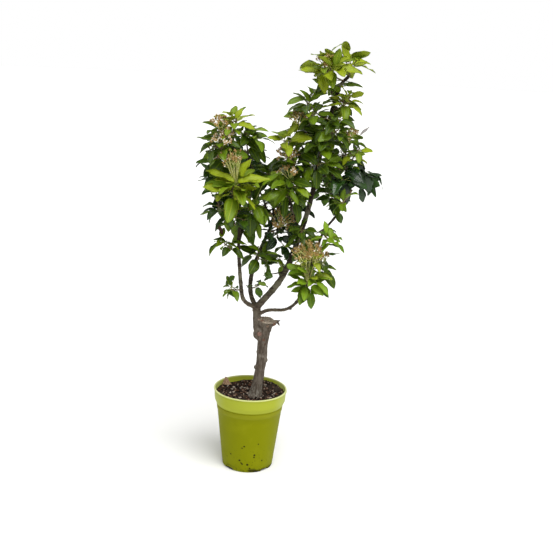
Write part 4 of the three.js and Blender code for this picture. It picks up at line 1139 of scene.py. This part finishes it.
class PEAR_OT_soil(bpy.types.Operator):
    """Makes the crumbly soil, with loose chips and a dry bark flake"""
    bl_idname = "pear.soil"
    bl_label = "Soil"

    def execute(self, context):
        settings = context.scene.pear_soil
        rings = [(62, 3.6), (69.8, 3.6), (91.6, 187), (98.2, 201), (98.8, 208), (99.3, 214)]
        soil = turned(rings, 200)
        bpy.ops.object.mode_set(mode="EDIT")
        for _ in range(45):
            bpy.ops.mesh.inset(thickness=2.15 * MM)
        bpy.ops.object.mode_set(mode="OBJECT")

        def crumbly(places, normals):
            moved = places.copy()
            for i, (x, y, z) in enumerate(places):
                if z > SOIL_SURFACE:
                    moved[i, 2] = soil_height(x / MM, y / MM, settings) * MM
            return moved

        shaped(soil, crumbly)
        settled(soil, "potting_soil", [soil_finish("potting_soil", "110b07", "42342a", 420.0)], ["soil"],
                angle=50)
        self.scatter_chips(settings)
        self.lay_flake()
        return {"FINISHED"}

    def scatter_chips(self, settings):
        """Bark chips, grit and a few pale crumbs, each a small knocked-about block."""
        draw = Draw(41)
        sheaf = Sheaf()
        for _ in range(settings.chips):
            away, turn = 97 * math.sqrt(draw.next()), draw.between(0, 2 * math.pi)
            x, y = away * math.cos(turn), away * math.sin(turn)
            kind = draw.next()
            size = draw.between(0.8, 2.4) if kind < 0.7 else draw.between(2.2, 5.0)
            if math.hypot(x - STEM_X, y - STEM_Y) < STEM_ROOM + size:
                continue
            spin = Matrix.Rotation(draw.between(0, 6.28), 3, "Z") @ Matrix.Rotation(draw.between(-0.6, 0.6), 3, "X")
            long, wide, thick = size, size * draw.between(0.25, 0.9), size * draw.between(0.2, 0.5)
            centre = Vector((x, y, soil_height(x, y, settings) + thick * 0.35))
            corners = []
            for k in (-1, 1):
                for a, b in ((-1, -1), (1, -1), (1, 1), (-1, 1)):
                    shake = [draw.between(0.55, 1.1) for _ in range(3)]
                    corner = (a * long * shake[0], b * wide * shake[1], k * thick * shake[2])
                    corners.append(centre + spin @ Vector(corner))
            faces = [(3, 2, 1, 0), (4, 5, 6, 7), (0, 1, 5, 4), (1, 2, 6, 5), (2, 3, 7, 6), (3, 0, 4, 7)]
            colour = draw.next()
            sheaf.add(corners, faces, 2 if kind > 0.95 else 0 if colour < 0.22 else 3 if colour < 0.44 else 1)
        chips = [soil_finish("red_bark_chip", "3b2519", "6a4733", 500.0),
                 soil_finish("dark_chip", "120c08", "32251b", 500.0),
                 soil_finish("pale_chip", "85796c", "c4b8a8", 600.0),
                 soil_finish("tan_chip", "685242", "9c8470", 500.0)]
        sheaf.piece("soil_chips", chips, [], "potting_soil", smooth=False)

    def lay_flake(self):
        """A dry curled flake that leans on the wall at the back left."""
        deselect()
        bpy.ops.mesh.primitive_grid_add(x_subdivisions=10, y_subdivisions=8, size=2)
        flake = bpy.context.object
        long, wide = Vector((0.1, 0.42, 0.9)), Vector((1.0, 0.15, 0.05))
        long.normalize()
        wide = (wide - long * wide.dot(long)).normalized()
        turn = Matrix((long, wide, long.cross(wide))).transposed()

        def curled(places, normals):
            moved = np.empty_like(places)
            for i, (u, v, _) in enumerate(places):
                across = v * (1 - 0.8 * ((u + 1) / 2) ** 1.3) * 15 - 3 * (u + 1)
                across += 3.2 * noise.noise((u * 1.9, 3.1, v * 1.4))
                lift = -0.06 * across * across + 1.2 * math.sin(2.4 * u) + 0.8 * noise.noise((u * 2, v * 2, 0))
                moved[i] = turn @ Vector((u * 12, across, lift)) + Vector((-68, 58, 227))
            return moved * MM

        shaped(flake, curled)
        apply_modifier(flake, "SOLIDIFY", thickness=0.9 * MM, offset=0)
        apply_modifier(flake, "SUBSURF", levels=1, render_levels=1)
        settled(flake, "dry_flake", [plain_finish("dry_flake", "7d5c42", "bfa080", 260.0, 0.8)], [],
                angle=60)


class PEAR_OT_wood(bpy.types.Operator):
    """Makes the trunk and boughs as one barked body"""
    bl_idname = "pear.wood"
    bl_label = "Trunk and boughs"

    def execute(self, context):
        settings = context.scene.pear_bark
        parts = [self.stem(), self.stub(), lump(*BURL)]
        parts += [lump(centre, (radius * 1.15, radius * 1.15, radius * 1.3)) for centre, radius in KNOBS]
        parts.append(limb_tube([spline(SPIKE_PLACES, i / 8) for i in range(9)],
                               [9.0, 8.2, 7.0, 5.6, 4.4, 3.6, 2.6, 2.2, 1.2]))
        fork = spline(SPIKE_PLACES, 0.5)
        parts.append(limb_tube([add(fork, (i * 2.4, -i * 1.2, -i * i * 0.7)) for i in range(5)],
                               [4.6, 4.2, 3.4, 2.6, 1.4]))
        parts += [lump(centre, size) for centre, size in CALLUS]
        parts += self.root_toes()
        draw = Draw(77)
        for name, limb in LIMBS.items():
            parts.append(self.bough(name, limb, draw))
        for foot, end, radius in self.snags(draw):
            parts.append(limb_tube([mix(foot, end, i / 3) for i in range(4)],
                                   [radius * 1.3, radius, radius * 0.9, radius * 0.55], 8))
        wood = joined(parts)
        apply_modifier(wood, "REMESH", mode="VOXEL", voxel_size=settings.voxel)
        wood = largest_shell(wood)
        apply_modifier(wood, "SMOOTH", factor=0.5, iterations=2)
        relief = settings.relief

        def barked(places, normals):
            moved = places.copy()
            for i, (x, y, z) in enumerate(places):
                old = 1 - min(max((z - 0.43) / 0.08, 0), 1)
                ridge = 1 - abs(noise.noise((x * 170, y * 170, z * 42))) * 2.2
                knots = noise.noise((x * 55, y * 55, z * 38 + 3))
                fine = noise.noise((x * 420, y * 420, z * 160))
                rings = noise.noise((x * 60, y * 60, z * 330))
                out = old * relief * (0.5 * ridge - 0.3 + 1.0 * knots + 0.3 * fine)
                out += (1 - old) * relief * (0.3 * rings + 0.5 * knots + 0.2 * fine)
                rim = math.exp(-((z - 0.44) / 0.006) ** 2) if x > 0.022 else 0.0
                out += rim * 0.0022 * (0.5 + noise.noise((x * 110, y * 110, z * 60)))
                low = math.exp(-max(z - 0.219, 0) / 0.016)
                turn = math.atan2(y - STEM_PLACES[0][1] * MM, x - STEM_PLACES[0][0] * MM)
                crease = math.sin(8 * turn + 2.2 * math.sin(3 * turn + z * 60))
                out += low * 0.0016 * (crease + noise.noise((x * 300, y * 300, z * 45)))
                moved[i] += normals[i] * out
            return moved

        shaped(wood, barked)
        settled(wood, "trunk_and_boughs", [bark_finish(settings.trunk_colour, settings.bough_colour)],
                ["trunk"] + BOUGHS, angle=60)
        return {"FINISHED"}

    def stem(self):
        count = 40
        places = [spline(floats(STEM_PLACES), i / count) for i in range(count + 1)]
        radii = []
        for _, _, z in places:
            height = max(z - STEM_Z, 0)
            wander = 0.5 * math.sin(z / 17) + 0.35 * math.sin(z / 7.3 + 1)
            radii.append(STEM_RADIUS + FLARE * 1.15 * math.exp(-height / FLARE_HEIGHT) + wander)
        return limb_tube(places, radii, 24)

    def stub(self):
        """An oval that widens upwards and is cut off by a sloping saw cut."""
        deselect()
        (x, y, z), wide, deep = STUB_LEVELS[0]
        bpy.ops.mesh.primitive_circle_add(vertices=36, radius=wide * MM, fill_type="NGON",
                                          location=(x * MM, y * MM, z * MM))
        bpy.ops.object.mode_set(mode="EDIT")
        bpy.ops.mesh.select_all(action="SELECT")
        for (nx, ny, nz), next_wide, next_deep in STUB_LEVELS[1:]:
            nz += STUB_SPARE if (nx, ny, nz) == STUB_LEVELS[-1][0] else 0
            bpy.ops.mesh.extrude_region_move(
                TRANSFORM_OT_translate={"value": ((nx - x) * MM, (ny - y) * MM, (nz - z) * MM)})
            bpy.ops.transform.resize(value=(next_wide / wide, next_deep / deep, 1),
                                     center_override=(nx * MM, ny * MM, nz * MM))
            (x, y, z), wide, deep = (nx, ny, nz), next_wide, next_deep
        bpy.ops.mesh.select_all(action="SELECT")
        bpy.ops.mesh.normals_make_consistent(inside=False)
        top = STUB_LEVELS[-1][0]
        bpy.ops.mesh.bisect(plane_co=[value * MM for value in top], plane_no=(-STUB_FALL[0], -STUB_FALL[1], 1),
                            use_fill=True, clear_outer=True)
        bpy.ops.object.mode_set(mode="OBJECT")
        return bpy.context.object

    def root_toes(self):
        """Ridges that run down the foot of the stem into the soil."""
        toes = []
        for angle, long in ((0.5, 1.0), (1.7, 0.8), (2.9, 1.1), (4.1, 0.9), (5.3, 1.05)):
            out = (math.cos(angle), math.sin(angle))
            places = [(STEM_X + out[0] * r, STEM_Y + out[1] * r, z)
                      for r, z in ((9, 240), (13, 228), (17 * long, 219), (22 * long, 211))]
            toes.append(limb_tube([spline(places, i / 6) for i in range(7)], [3, 4.2, 4.8, 4.6, 4, 3.2, 2.4]))
        return toes

    def bough(self, name, limb, draw):
        """A bough with a slight swelling where each year's buds stood."""
        foot, tip = limb["radii"]
        fine = [spline(limb["places"], i / 200) for i in range(201)]
        total = sum(length(less(b, a)) for a, b in zip(fine, fine[1:]))
        count = max(12, int(total / 5))
        pitch, phase = draw.between(22, 30), draw.next()
        places, radii, run, k = [], [], 0.0, 0
        for i in range(count + 1):
            while k < 200 and run < total * i / count:
                run += length(less(fine[k + 1], fine[k]))
                k += 1
            share = i / count
            swell = 0.16 * math.exp(-(((total * share / pitch + phase) % 1 - 0.5) / 0.09) ** 2)
            collar = 0.25 * math.exp(-total * share / 9) if name != "leader" else 0
            places.append(fine[k])
            radii.append((foot + (tip - foot) * share) * (1 + swell + collar))
        return limb_tube(places, radii, 12)

    def snags(self, draw):
        """Short dry spurs and cut stubs along the boughs."""
        found = [((186, -47, 722), (160, -47, 704), 2.6), ((80, 8, 579), (21, 0, 568), 2.0),
                 ((-8, 18, 577), (6, 22, 584), 2.4)]
        for name in BOUGHS:
            limb = LIMBS[name]
            for _ in range(4):
                share = draw.between(0.15, 0.95)
                foot = spline(limb["places"], share)
                along = unit(less(spline(limb["places"], min(share + 0.02, 1)), foot))
                heading = lean(along, math.radians(draw.between(35, 80)), draw.between(0, 2 * math.pi))
                found.append((foot, add(foot, times(heading, draw.between(8, 17))), draw.between(1.3, 2.1)))
        return found


class PEAR_OT_twigs(bpy.types.Operator):
    """Grows the twigs, fruit spurs and buds out of the boughs"""
    bl_idname = "pear.twigs"
    bl_label = "Twigs"

    def execute(self, context):
        sheaf = Sheaf()
        draw = Draw(503)
        for mass in MASSES.values():
            stem = mass["stem"]
            count = max(6, int(length(less(stem[2], stem[0])) / 6))
            self.twig(sheaf, [bow(*stem, i / count) for i in range(count + 1)], 2.3, 2.0, 7, draw)
            for foot, end, _ in mass["spurs"]:
                self.twig(sheaf, self.bent(foot, end, 6, draw), 1.9, 2.0, 6, draw)
            for foot, end in mass["finer"]:
                self.twig(sheaf, self.bent(foot, end, 5, draw), 1.4, 1.6, 5, draw)
            for end, heading, _ in mass["sprays"]:
                self.bud(sheaf, end, heading, draw)
        finishes = [plain_finish("twig_bark", "4a3a2a", "7c6a4c", 190.0, 0.75, (1.0, 1.0, 2.0)),
                    plain_finish("bud_scale", "4a2a18", "7a5230", 400.0, 0.6)]
        sheaf.piece("twigs", finishes, list(MASSES), "bough_bark")
        return {"FINISHED"}

    def bent(self, foot, end, count, draw):
        """A path from foot to end that wanders a little between them."""
        long = length(less(end, foot))
        knee = add(mix(foot, end, 0.5), tuple(draw.between(-0.09, 0.09) * long for _ in range(3)))
        return [bow(foot, knee, end, i / count) for i in range(count + 1)]

    def twig(self, sheaf, places, foot, tip, sides, draw):
        """A twig that is ringed by old leaf scars and swollen at its end."""
        last = len(places) - 1
        radii = []
        for i in range(last + 1):
            share = i / last
            slim = foot + (min(tip, foot) * 0.72 - foot) * min(share * 1.3, 1)
            swollen = (tip - slim) * max(0, (share - 0.72) / 0.28)
            radii.append((slim + swollen) * draw.between(0.9, 1.14) + (0.9 if i == 0 else 0))
        sheaf.add(*tube(places, radii, sides))

    def bud(self, sheaf, end, heading, draw):
        long = draw.between(4.5, 7.5)
        shares = (0, 0.3, 0.65, 1)
        places = [add(end, times(heading, long * share - 0.6)) for share in shares]
        sheaf.add(*tube(places, [1.3, 1.7, 1.2, 0.15], 5), finish=1)


# A leaf's grid: rows along the blade, five corners across, and an underside that shares its edges
BLADE_ROWS = (0.07, 0.22, 0.4, 0.59, 0.77, 0.92)
# Each tint's three shades, and the colours of its underside and veins
LEAF_SHADES = {
    "young": ("8c9c18", "9ba21e", "6b8414"),
    "fresh": ("72921a", "8c9c22", "57790f"),
    "mid": ("617c0d", "768e12", "3b5308"),
    "dark": ("3a560c", "4b6810", "253e08"),
    "deep": ("19350e", "254212", "12290c"),
}
UNDERSIDES = {"young": "8a9a2a", "fresh": "7e9428", "mid": "627c1e", "dark": "4c6a20", "deep": "34521f"}
VEINS = {"young": "abb62c", "fresh": "9fb42e", "mid": "7d9218", "dark": "5e7a1c", "deep": "3a581e"}
# The roughness and the shine of each tint's face
GLOSS = {"young": 0.34, "fresh": 0.3, "mid": 0.27, "dark": 0.24, "deep": 0.2}
SHINE = {"young": 0.2, "fresh": 0.24, "mid": 0.26, "dark": 0.3, "deep": 0.5}
# Up to which share of draws a leaf takes its tint's first shade, and from there up to which its third and darker one
FIRST_SHADE, THIRD_SHADE = 0.52, 0.84
# The share of leaves that take their spray's shade, the rise of its heading below which a leaf hangs, and the
# share of the hanging leaves that take the third and darker shade: painted shade for the crown's shadow on them
SPRAY_SHADE = 0.75
HANGING = -0.4
HANGING_PAINTED_SHADE = 0.6


def leaf_faces():
    """Faces of a blade's two sides and which finish each has: 0 for the face and 1 for the underside."""
    rows, tip = len(BLADE_ROWS), len(BLADE_ROWS) * 5 + 1

    def upper(row, column):
        return 1 + row * 5 + column

    def lower(row, column):
        return upper(row, column) if column in (0, 4) else tip + 1 + row * 3 + column - 1

    faces, sides = [], []
    for side, grid in enumerate((upper, lower)):
        found = [(0, grid(0, c + 1), grid(0, c)) for c in range(4)]
        found += [(grid(r, c), grid(r, c + 1), grid(r + 1, c + 1), grid(r + 1, c))
                  for r in range(rows - 1) for c in range(4)]
        found += [(grid(rows - 1, c), grid(rows - 1, c + 1), tip) for c in range(4)]
        faces += [face[::-1] for face in found] if side else found
        sides += [side] * len(found)
    return faces, sides


LEAF_FACES, LEAF_SIDES = leaf_faces()


def full_outline(share):
    """Half the width of a drawn blade: fuller towards its tip than the room that the rule keeps."""
    return 0.0 if share <= 0 or share >= 1 else 2.53 * share ** 0.57 * (1 - share) ** 0.78


def leaf_shape(leaf, fold, wave, twist, phase, thickness):
    """Corners and map of a curved, folded and waved blade."""
    heading, normal, side = leaf["heading"], leaf["normal"], leaf["side"]
    curl, long, wide = leaf["curl"], leaf["long"], leaf["wide"]

    def corner(share, across, below=0.0):
        half = 0.5 * wide * full_outline(share) * across
        ahead = long * math.sin(curl * share) / curl
        ripple = wave * long * math.sin(2 * math.pi * 1.7 * share + phase + across) * across * across
        lift = fold * abs(half) + ripple * min(1, 3 * share) - long * (1 - math.cos(curl * share)) / curl - below
        angle = twist * share
        lifted = lift * math.cos(angle) - half * math.sin(angle) * 0.5
        moved = half * math.cos(angle)
        return add(add(leaf["base"], times(heading, ahead)), add(times(normal, lifted), times(side, moved)))

    corners, maps = [corner(0, 0)], [(0.5, 0.0)]
    for share in BLADE_ROWS:
        for across in LEAF_COLUMNS:
            corners.append(corner(share, across))
            maps.append((0.5 + 0.5 * across, share))
    corners.append(corner(1, 0))
    maps.append((0.5, 1.0))
    for share in BLADE_ROWS:
        for across in LEAF_COLUMNS[1:4]:
            corners.append(corner(share, across, thickness))
            maps.append((0.5 + 0.5 * across, share))
    return corners, maps


class PEAR_OT_leaves(bpy.types.Operator):
    """Grows the leaves, most of a spray in one shade of its mass's tint, and hanging leaves more often darker as
    painted shade
    """
    bl_idname = "pear.leaves"
    bl_label = "Leaves"

    def execute(self, context):
        settings = context.scene.pear_leaf
        groups = {}
        for name, mass in MASSES.items():
            groups.setdefault((mass["tint"], self.region(mass)), []).append(name)
        stalk = plain_finish("leaf_stalk", "7d8a3a", "a3a552", 220.0, 0.5)
        finishes = {}
        for tint, shades in LEAF_SHADES.items():
            finishes[tint] = [leaf_finish(f"{tint}_leaf_{i + 1}", shade, VEINS[tint], GLOSS[tint], SHINE[tint])
                              for i, shade in enumerate(shades)]
            finishes[tint] += [leaf_finish(f"{tint}_underside", UNDERSIDES[tint], VEINS[tint], 0.62, 0.15, 0.9),
                               stalk]
        for (tint, region), names in groups.items():
            sheaf = Sheaf()
            for name in names:
                self.dress(sheaf, MASSES[name], settings)
            look = "fresh" if (tint, region) == ("young", "low_right") else tint
            sheaf.piece(f"{tint}_leaves_{region}", finishes[look], names, f"{tint}_leaves")
        self.hang_single_leaves(finishes, stalk, settings)
        return {"FINISHED"}

    def hang_single_leaves(self, finishes, stalk, settings):
        """The leaves that stand out from the crown, each on a stalk from the nearest spray."""
        looks = {tint: finishes[tint][0] for tint in ("young", "fresh", "mid", "dark", "deep")}
        looks["withered"] = plain_finish("withered_leaf", "857e7c", "b4aeae", 300.0, 0.7)
        looks["brown"] = plain_finish("brown_leaf", "341a12", "5c3826", 300.0, 0.6)
        order = list(looks)
        ends = [end for mass in MASSES.values() for end, _, _ in mass["sprays"]]
        sheaf = Sheaf()
        draw = Draw(23)
        for foot, tip, wide, curl, roll, look in SINGLE_LEAVES:
            twig = min(ends, key=lambda end: length(less(end, foot)))
            heading = unit(add(less(tip, foot), (0, 0, 0.45 * curl * length(less(tip, foot)))))
            side = unit(cross(heading, UP))
            normal = cross(side, heading)
            normal, side = (add(times(normal, math.cos(roll)), times(side, math.sin(roll))),
                            less(times(side, math.cos(roll)), times(normal, math.sin(roll))))
            leaf = {"base": foot, "heading": heading, "normal": normal, "side": side, "curl": max(curl, 0.1),
                    "long": length(less(tip, foot)) * (1 + 0.12 * curl), "wide": wide}
            corners, maps = leaf_shape(leaf, 0.25, settings.wave, draw.between(-0.4, 0.4), draw.between(0, 6.28),
                                       settings.thickness / MM)
            sheaf.add(corners, LEAF_FACES, [order.index(look)] * len(LEAF_SIDES), maps)
            sag = add(mix(twig, foot, 0.5), (0, 0, 0.1 * length(less(foot, twig))))
            path = [bow(twig, sag, foot, share) for share in (0, 0.25, 0.5, 0.75, 1)]
            path += [add(foot, times(heading, 0.03 * leaf["long"]))]
            sheaf.add(*tube(path, [1.1, 0.8, 0.7, 0.65, 0.6, 0.5], 5), finish=len(order))
        sheaf.piece("single_leaves", [looks[look] for look in order] + [stalk], [], "mid_leaves")

    def pick(self, draw):
        """Mostly the tint's first shade, and more often the third and darker one than the second."""
        value = draw.next()
        return 0 if value < FIRST_SHADE else 2 if value < THIRD_SHADE else 1

    def region(self, mass):
        bough = mass["bough"]
        if bough.startswith("left") or bough == "rear_left_bough":
            return "left"
        if bough in ("middle_bough", "centre_bough", "upper_left_bough"):
            return "centre"
        if bough == "far_right_bough":
            return "low_right"
        return "top" if mass["tip"][2] > 1040 else "right"

    def dress(self, sheaf, mass, settings):
        draw = Draw(mass["seed"] + 700)
        for _, _, leaves in mass["sprays"]:
            shade = self.pick(draw)
            for leaf in leaves:
                own_shade = shade if draw.next() < SPRAY_SHADE else self.pick(draw)
                # Painted shade: hanging leaves more often take the third and darker shade, as if in the crown's shadow
                if leaf["heading"][2] < HANGING and draw.next() < HANGING_PAINTED_SHADE:
                    own_shade = 2
                fold = draw.between(settings.least_fold, settings.greatest_fold)
                corners, maps = leaf_shape(leaf, fold, settings.wave * draw.between(0.3, 1.3), draw.between(-0.5, 0.5),
                                           draw.between(0, 6.28), settings.thickness / MM)
                sheaf.add(corners, LEAF_FACES, [3 if side else own_shade for side in LEAF_SIDES], maps)
                root, base = leaf["root"], leaf["base"]
                sag = add(mix(root, base, 0.5), (0, 0, -0.06 * length(less(base, root))))
                path = [bow(root, sag, base, share) for share in (0, 0.35, 0.7)]
                path += [add(base, times(leaf["heading"], 0.02 * leaf["long"]))]
                sheaf.add(*tube(path, [1.0, 0.65, 0.6, 0.5], 5), finish=4)


class PEAR_OT_stalks(bpy.types.Operator):
    """Grows the dried flower trusses, with a withered calyx on each stalk"""
    bl_idname = "pear.stalks"
    bl_label = "Dried flower stalks"

    def execute(self, context):
        sheaf = Sheaf()
        for name, looks in DRY_TRUSSES.items():
            self.truss(sheaf, MASSES[name], *looks)
        finishes = [plain_finish("dry_stalk", "bcbc52", "e9e6a0", 300.0, 0.7),
                    plain_finish("dry_calyx", "6a5024", "bf9f50", 350.0, 0.85),
                    plain_finish("pale_petal", "d8ccb4", "f4efe4", 350.0, 0.8),
                    plain_finish("dry_stamen", "a07c48", "ccae74", 350.0, 0.8)]
        sheaf.piece("dried_flower_stalks", finishes, [], "bough_bark")
        return {"FINISHED"}

    def truss(self, sheaf, mass, count, long, spread, towards, pale):
        """Stalks that fan out from the end of a mass, by its rule and then in between."""
        draw = Draw(mass["seed"] + 6000)
        start = mass["tip"]
        axis = unit(add(UP, towards))
        tips = list(mass["stalk_tips"])
        for i in range(count):
            polar = math.radians(spread * math.sqrt((i + 0.5) / count) + draw.between(-6, 6))
            heading = lean(axis, max(polar, 0.02), i * GOLDEN_ANGLE + draw.between(-0.4, 0.4))
            tips.append(add(start, times(heading, long * draw.between(0.78, 1.08))))
        for tip in tips:
            foot = bow(*mass["stem"], draw.between(0.86, 1.0))
            out = unit(less(tip, foot))
            knee = add(mix(foot, tip, 0.5), times(axis, 0.03 * length(less(tip, foot))))
            knee = add(knee, tuple(draw.between(-2.5, 2.5) for _ in range(3)))
            sheaf.add(*tube([bow(foot, knee, tip, i / 5) for i in range(6)], [1.4, 1.1, 0.95, 0.85, 0.8, 0.9], 4))
            self.calyx(sheaf, tip, out, pale, draw)
            for fork in (0.76, 0.86):
                side = bow(foot, knee, tip, fork)
                far = length(less(tip, foot)) * draw.between(0.8, 1.1) * (1 - fork)
                end = add(side, times(lean(out, math.radians(draw.between(25, 55)), draw.between(0, 6.28)), far + 4))
                sheaf.add(*tube([mix(side, end, i / 2) for i in range(3)], [0.5, 0.45, 0.6], 4))
                self.calyx(sheaf, end, out, pale, draw)

    def calyx(self, sheaf, tip, out, pale, draw):
        """A small cup with curled sepals and thin dry stamens, and on some a scrap of pale petal."""
        cup = [add(tip, times(out, step)) for step in (-0.5, 1.2, 2.8, 3.6)]
        sheaf.add(*tube(cup, [0.8, 1.5, 1.8, 0.9], 6), finish=1)
        mouth = cup[2]
        for k in range(5):
            away = lean(out, math.radians(draw.between(50, 115)), k * 2 * math.pi / 5 + draw.between(-0.3, 0.3))
            petal = draw.next() < pale
            wide = draw.between(1.4, 2.4) if petal else draw.between(0.8, 1.5)
            self.sliver(sheaf, mouth, away, out, draw.between(4.0, 7.5), wide, 2 if petal else 1, draw)
        for k in range(6):
            away = lean(out, math.radians(draw.between(5, 55)), k * GOLDEN_ANGLE + draw.between(-0.3, 0.3))
            self.sliver(sheaf, mouth, away, out, draw.between(4.5, 8.0), 0.45, 3, draw)

    def sliver(self, sheaf, mouth, away, out, long, wide, finish, draw):
        """A narrow strip that bends on its way to a point."""
        flank = times(unit(cross(out, away)), wide)
        middle = add(mouth, times(away, long * 0.55))
        end = add(middle, add(times(away, long * 0.35), times(out, draw.between(-2.0, 1.2))))
        corners = [add(mouth, flank), less(mouth, flank), less(middle, flank), add(middle, flank), end]
        sheaf.add(corners, [(0, 1, 2, 3), (3, 2, 4)], finish=finish)


class PEAR_OT_stage(bpy.types.Operator):
    """Sets the floor, the soft lights and the camera"""
    bl_idname = "pear.stage"
    bl_label = "Stage"

    def execute(self, context):
        settings = context.scene.pear_stage
        deselect()
        bpy.ops.mesh.primitive_circle_add(vertices=96, radius=30, fill_type="NGON", location=(0, 0, -0.0002))
        floor = context.object
        floor.name = "floor"
        sheet = Sheet("studio_floor")
        grain = sheet.grain(sheet.place(), 3.0, 2.0)
        shade = sheet.tinted(linear(settings.floor)[:3], 0.985 + 0.03 * grain)
        floor.data.materials.append(sheet.finish(colour=shade, roughness=0.9, specular=0.1))
        world = bpy.data.worlds.new("studio")
        context.scene.world = world
        world.use_nodes = True
        surround = world.node_tree.nodes["Background"]
        surround.inputs["Color"].default_value = (1.0, 1.0, 1.0, 1.0)
        seen = world.node_tree.nodes.new("ShaderNodeLightPath")
        strength = world.node_tree.nodes.new("ShaderNodeMath")
        strength.operation = "MAXIMUM"
        strength.inputs[1].default_value = settings.sky
        world.node_tree.links.new(seen.outputs["Is Camera Ray"], strength.inputs[0])
        world.node_tree.links.new(strength.outputs[0], surround.inputs["Strength"])
        self.soft_sun("key_light", (0.28, -0.42, 1.0), settings.key_power, 50)
        self.soft_sun("rim_light", (-0.6, 0.7, 0.9), settings.key_power * 0.22, 60)
        context.scene.view_settings.view_transform = "Standard"
        self.camera()
        return {"FINISHED"}

    def soft_sun(self, name, towards, power, softness):
        """A far lamp that shines from a direction, as wide in the sky as its softness in degrees."""
        bpy.ops.object.light_add(type="SUN", location=(0, 0, 3))
        lamp = bpy.context.object
        lamp.name = name
        lamp.data.energy = power
        lamp.data.angle = math.radians(softness)
        lamp.rotation_euler = Vector(towards).to_track_quat("Z", "Y").to_euler()

    def camera(self):
        """Stands where the photograph was taken: tilted down, turned a little right and rolled."""
        pitch, yaw, roll = CAMERA_TURNS
        ahead = Vector((math.sin(yaw) * math.cos(pitch), math.cos(yaw) * math.cos(pitch), -math.sin(pitch)))
        level = Vector((math.cos(yaw), -math.sin(yaw), 0))
        upright = level.cross(ahead)
        right = level * math.cos(roll) + upright * math.sin(roll)
        top = upright * math.cos(roll) - level * math.sin(roll)
        bpy.ops.object.camera_add(location=CAMERA_PLACE)
        eye = bpy.context.object
        eye.name = "camera"
        eye.matrix_world = Matrix.Translation(CAMERA_PLACE) @ Matrix((right, top, -ahead)).transposed().to_4x4()
        eye.data.sensor_width = SENSOR_WIDTH
        eye.data.lens = LENS
        bpy.context.scene.camera = eye


class PEAR_PT_panel(bpy.types.Panel):
    """Lists the pieces of the tree in the sidebar"""
    bl_label = "Pear tree"
    bl_idname = "PEAR_PT_panel"
    bl_space_type = "VIEW_3D"
    bl_region_type = "UI"
    bl_category = "Pear tree"

    def draw(self, context):
        scene = context.scene
        for operator, group in STEPS:
            box = self.layout.box()
            box.operator(operator.bl_idname)
            if group:
                settings = getattr(scene, group)
                for key in settings.bl_rna.properties.keys():
                    if key not in ("rna_type", "name"):
                        box.prop(settings, key)


STEPS = [
    (PEAR_OT_pot, "pear_pot"), (PEAR_OT_soil, "pear_soil"), (PEAR_OT_wood, "pear_bark"), (PEAR_OT_twigs, None),
    (PEAR_OT_leaves, "pear_leaf"), (PEAR_OT_stalks, None), (PEAR_OT_stage, "pear_stage")]
GROUPS = {"pear_pot": PotSettings, "pear_soil": SoilSettings, "pear_bark": BarkSettings, "pear_leaf": LeafSettings,
          "pear_stage": StageSettings}


def register():
    for name, group in GROUPS.items():
        bpy.utils.register_class(group)
        setattr(bpy.types.Scene, name, bpy.props.PointerProperty(type=group))
    for operator, _ in STEPS:
        bpy.utils.register_class(operator)
    bpy.utils.register_class(PEAR_PT_panel)


def unregister():
    bpy.utils.unregister_class(PEAR_PT_panel)
    for operator, _ in reversed(STEPS):
        bpy.utils.unregister_class(operator)
    for name, group in reversed(GROUPS.items()):
        delattr(bpy.types.Scene, name)
        bpy.utils.unregister_class(group)


def main():
    register()
    for operator, _ in STEPS:
        section, step = operator.bl_idname.split(".")
        getattr(getattr(bpy.ops, section), step)()


if __name__ == "__main__":
    main()
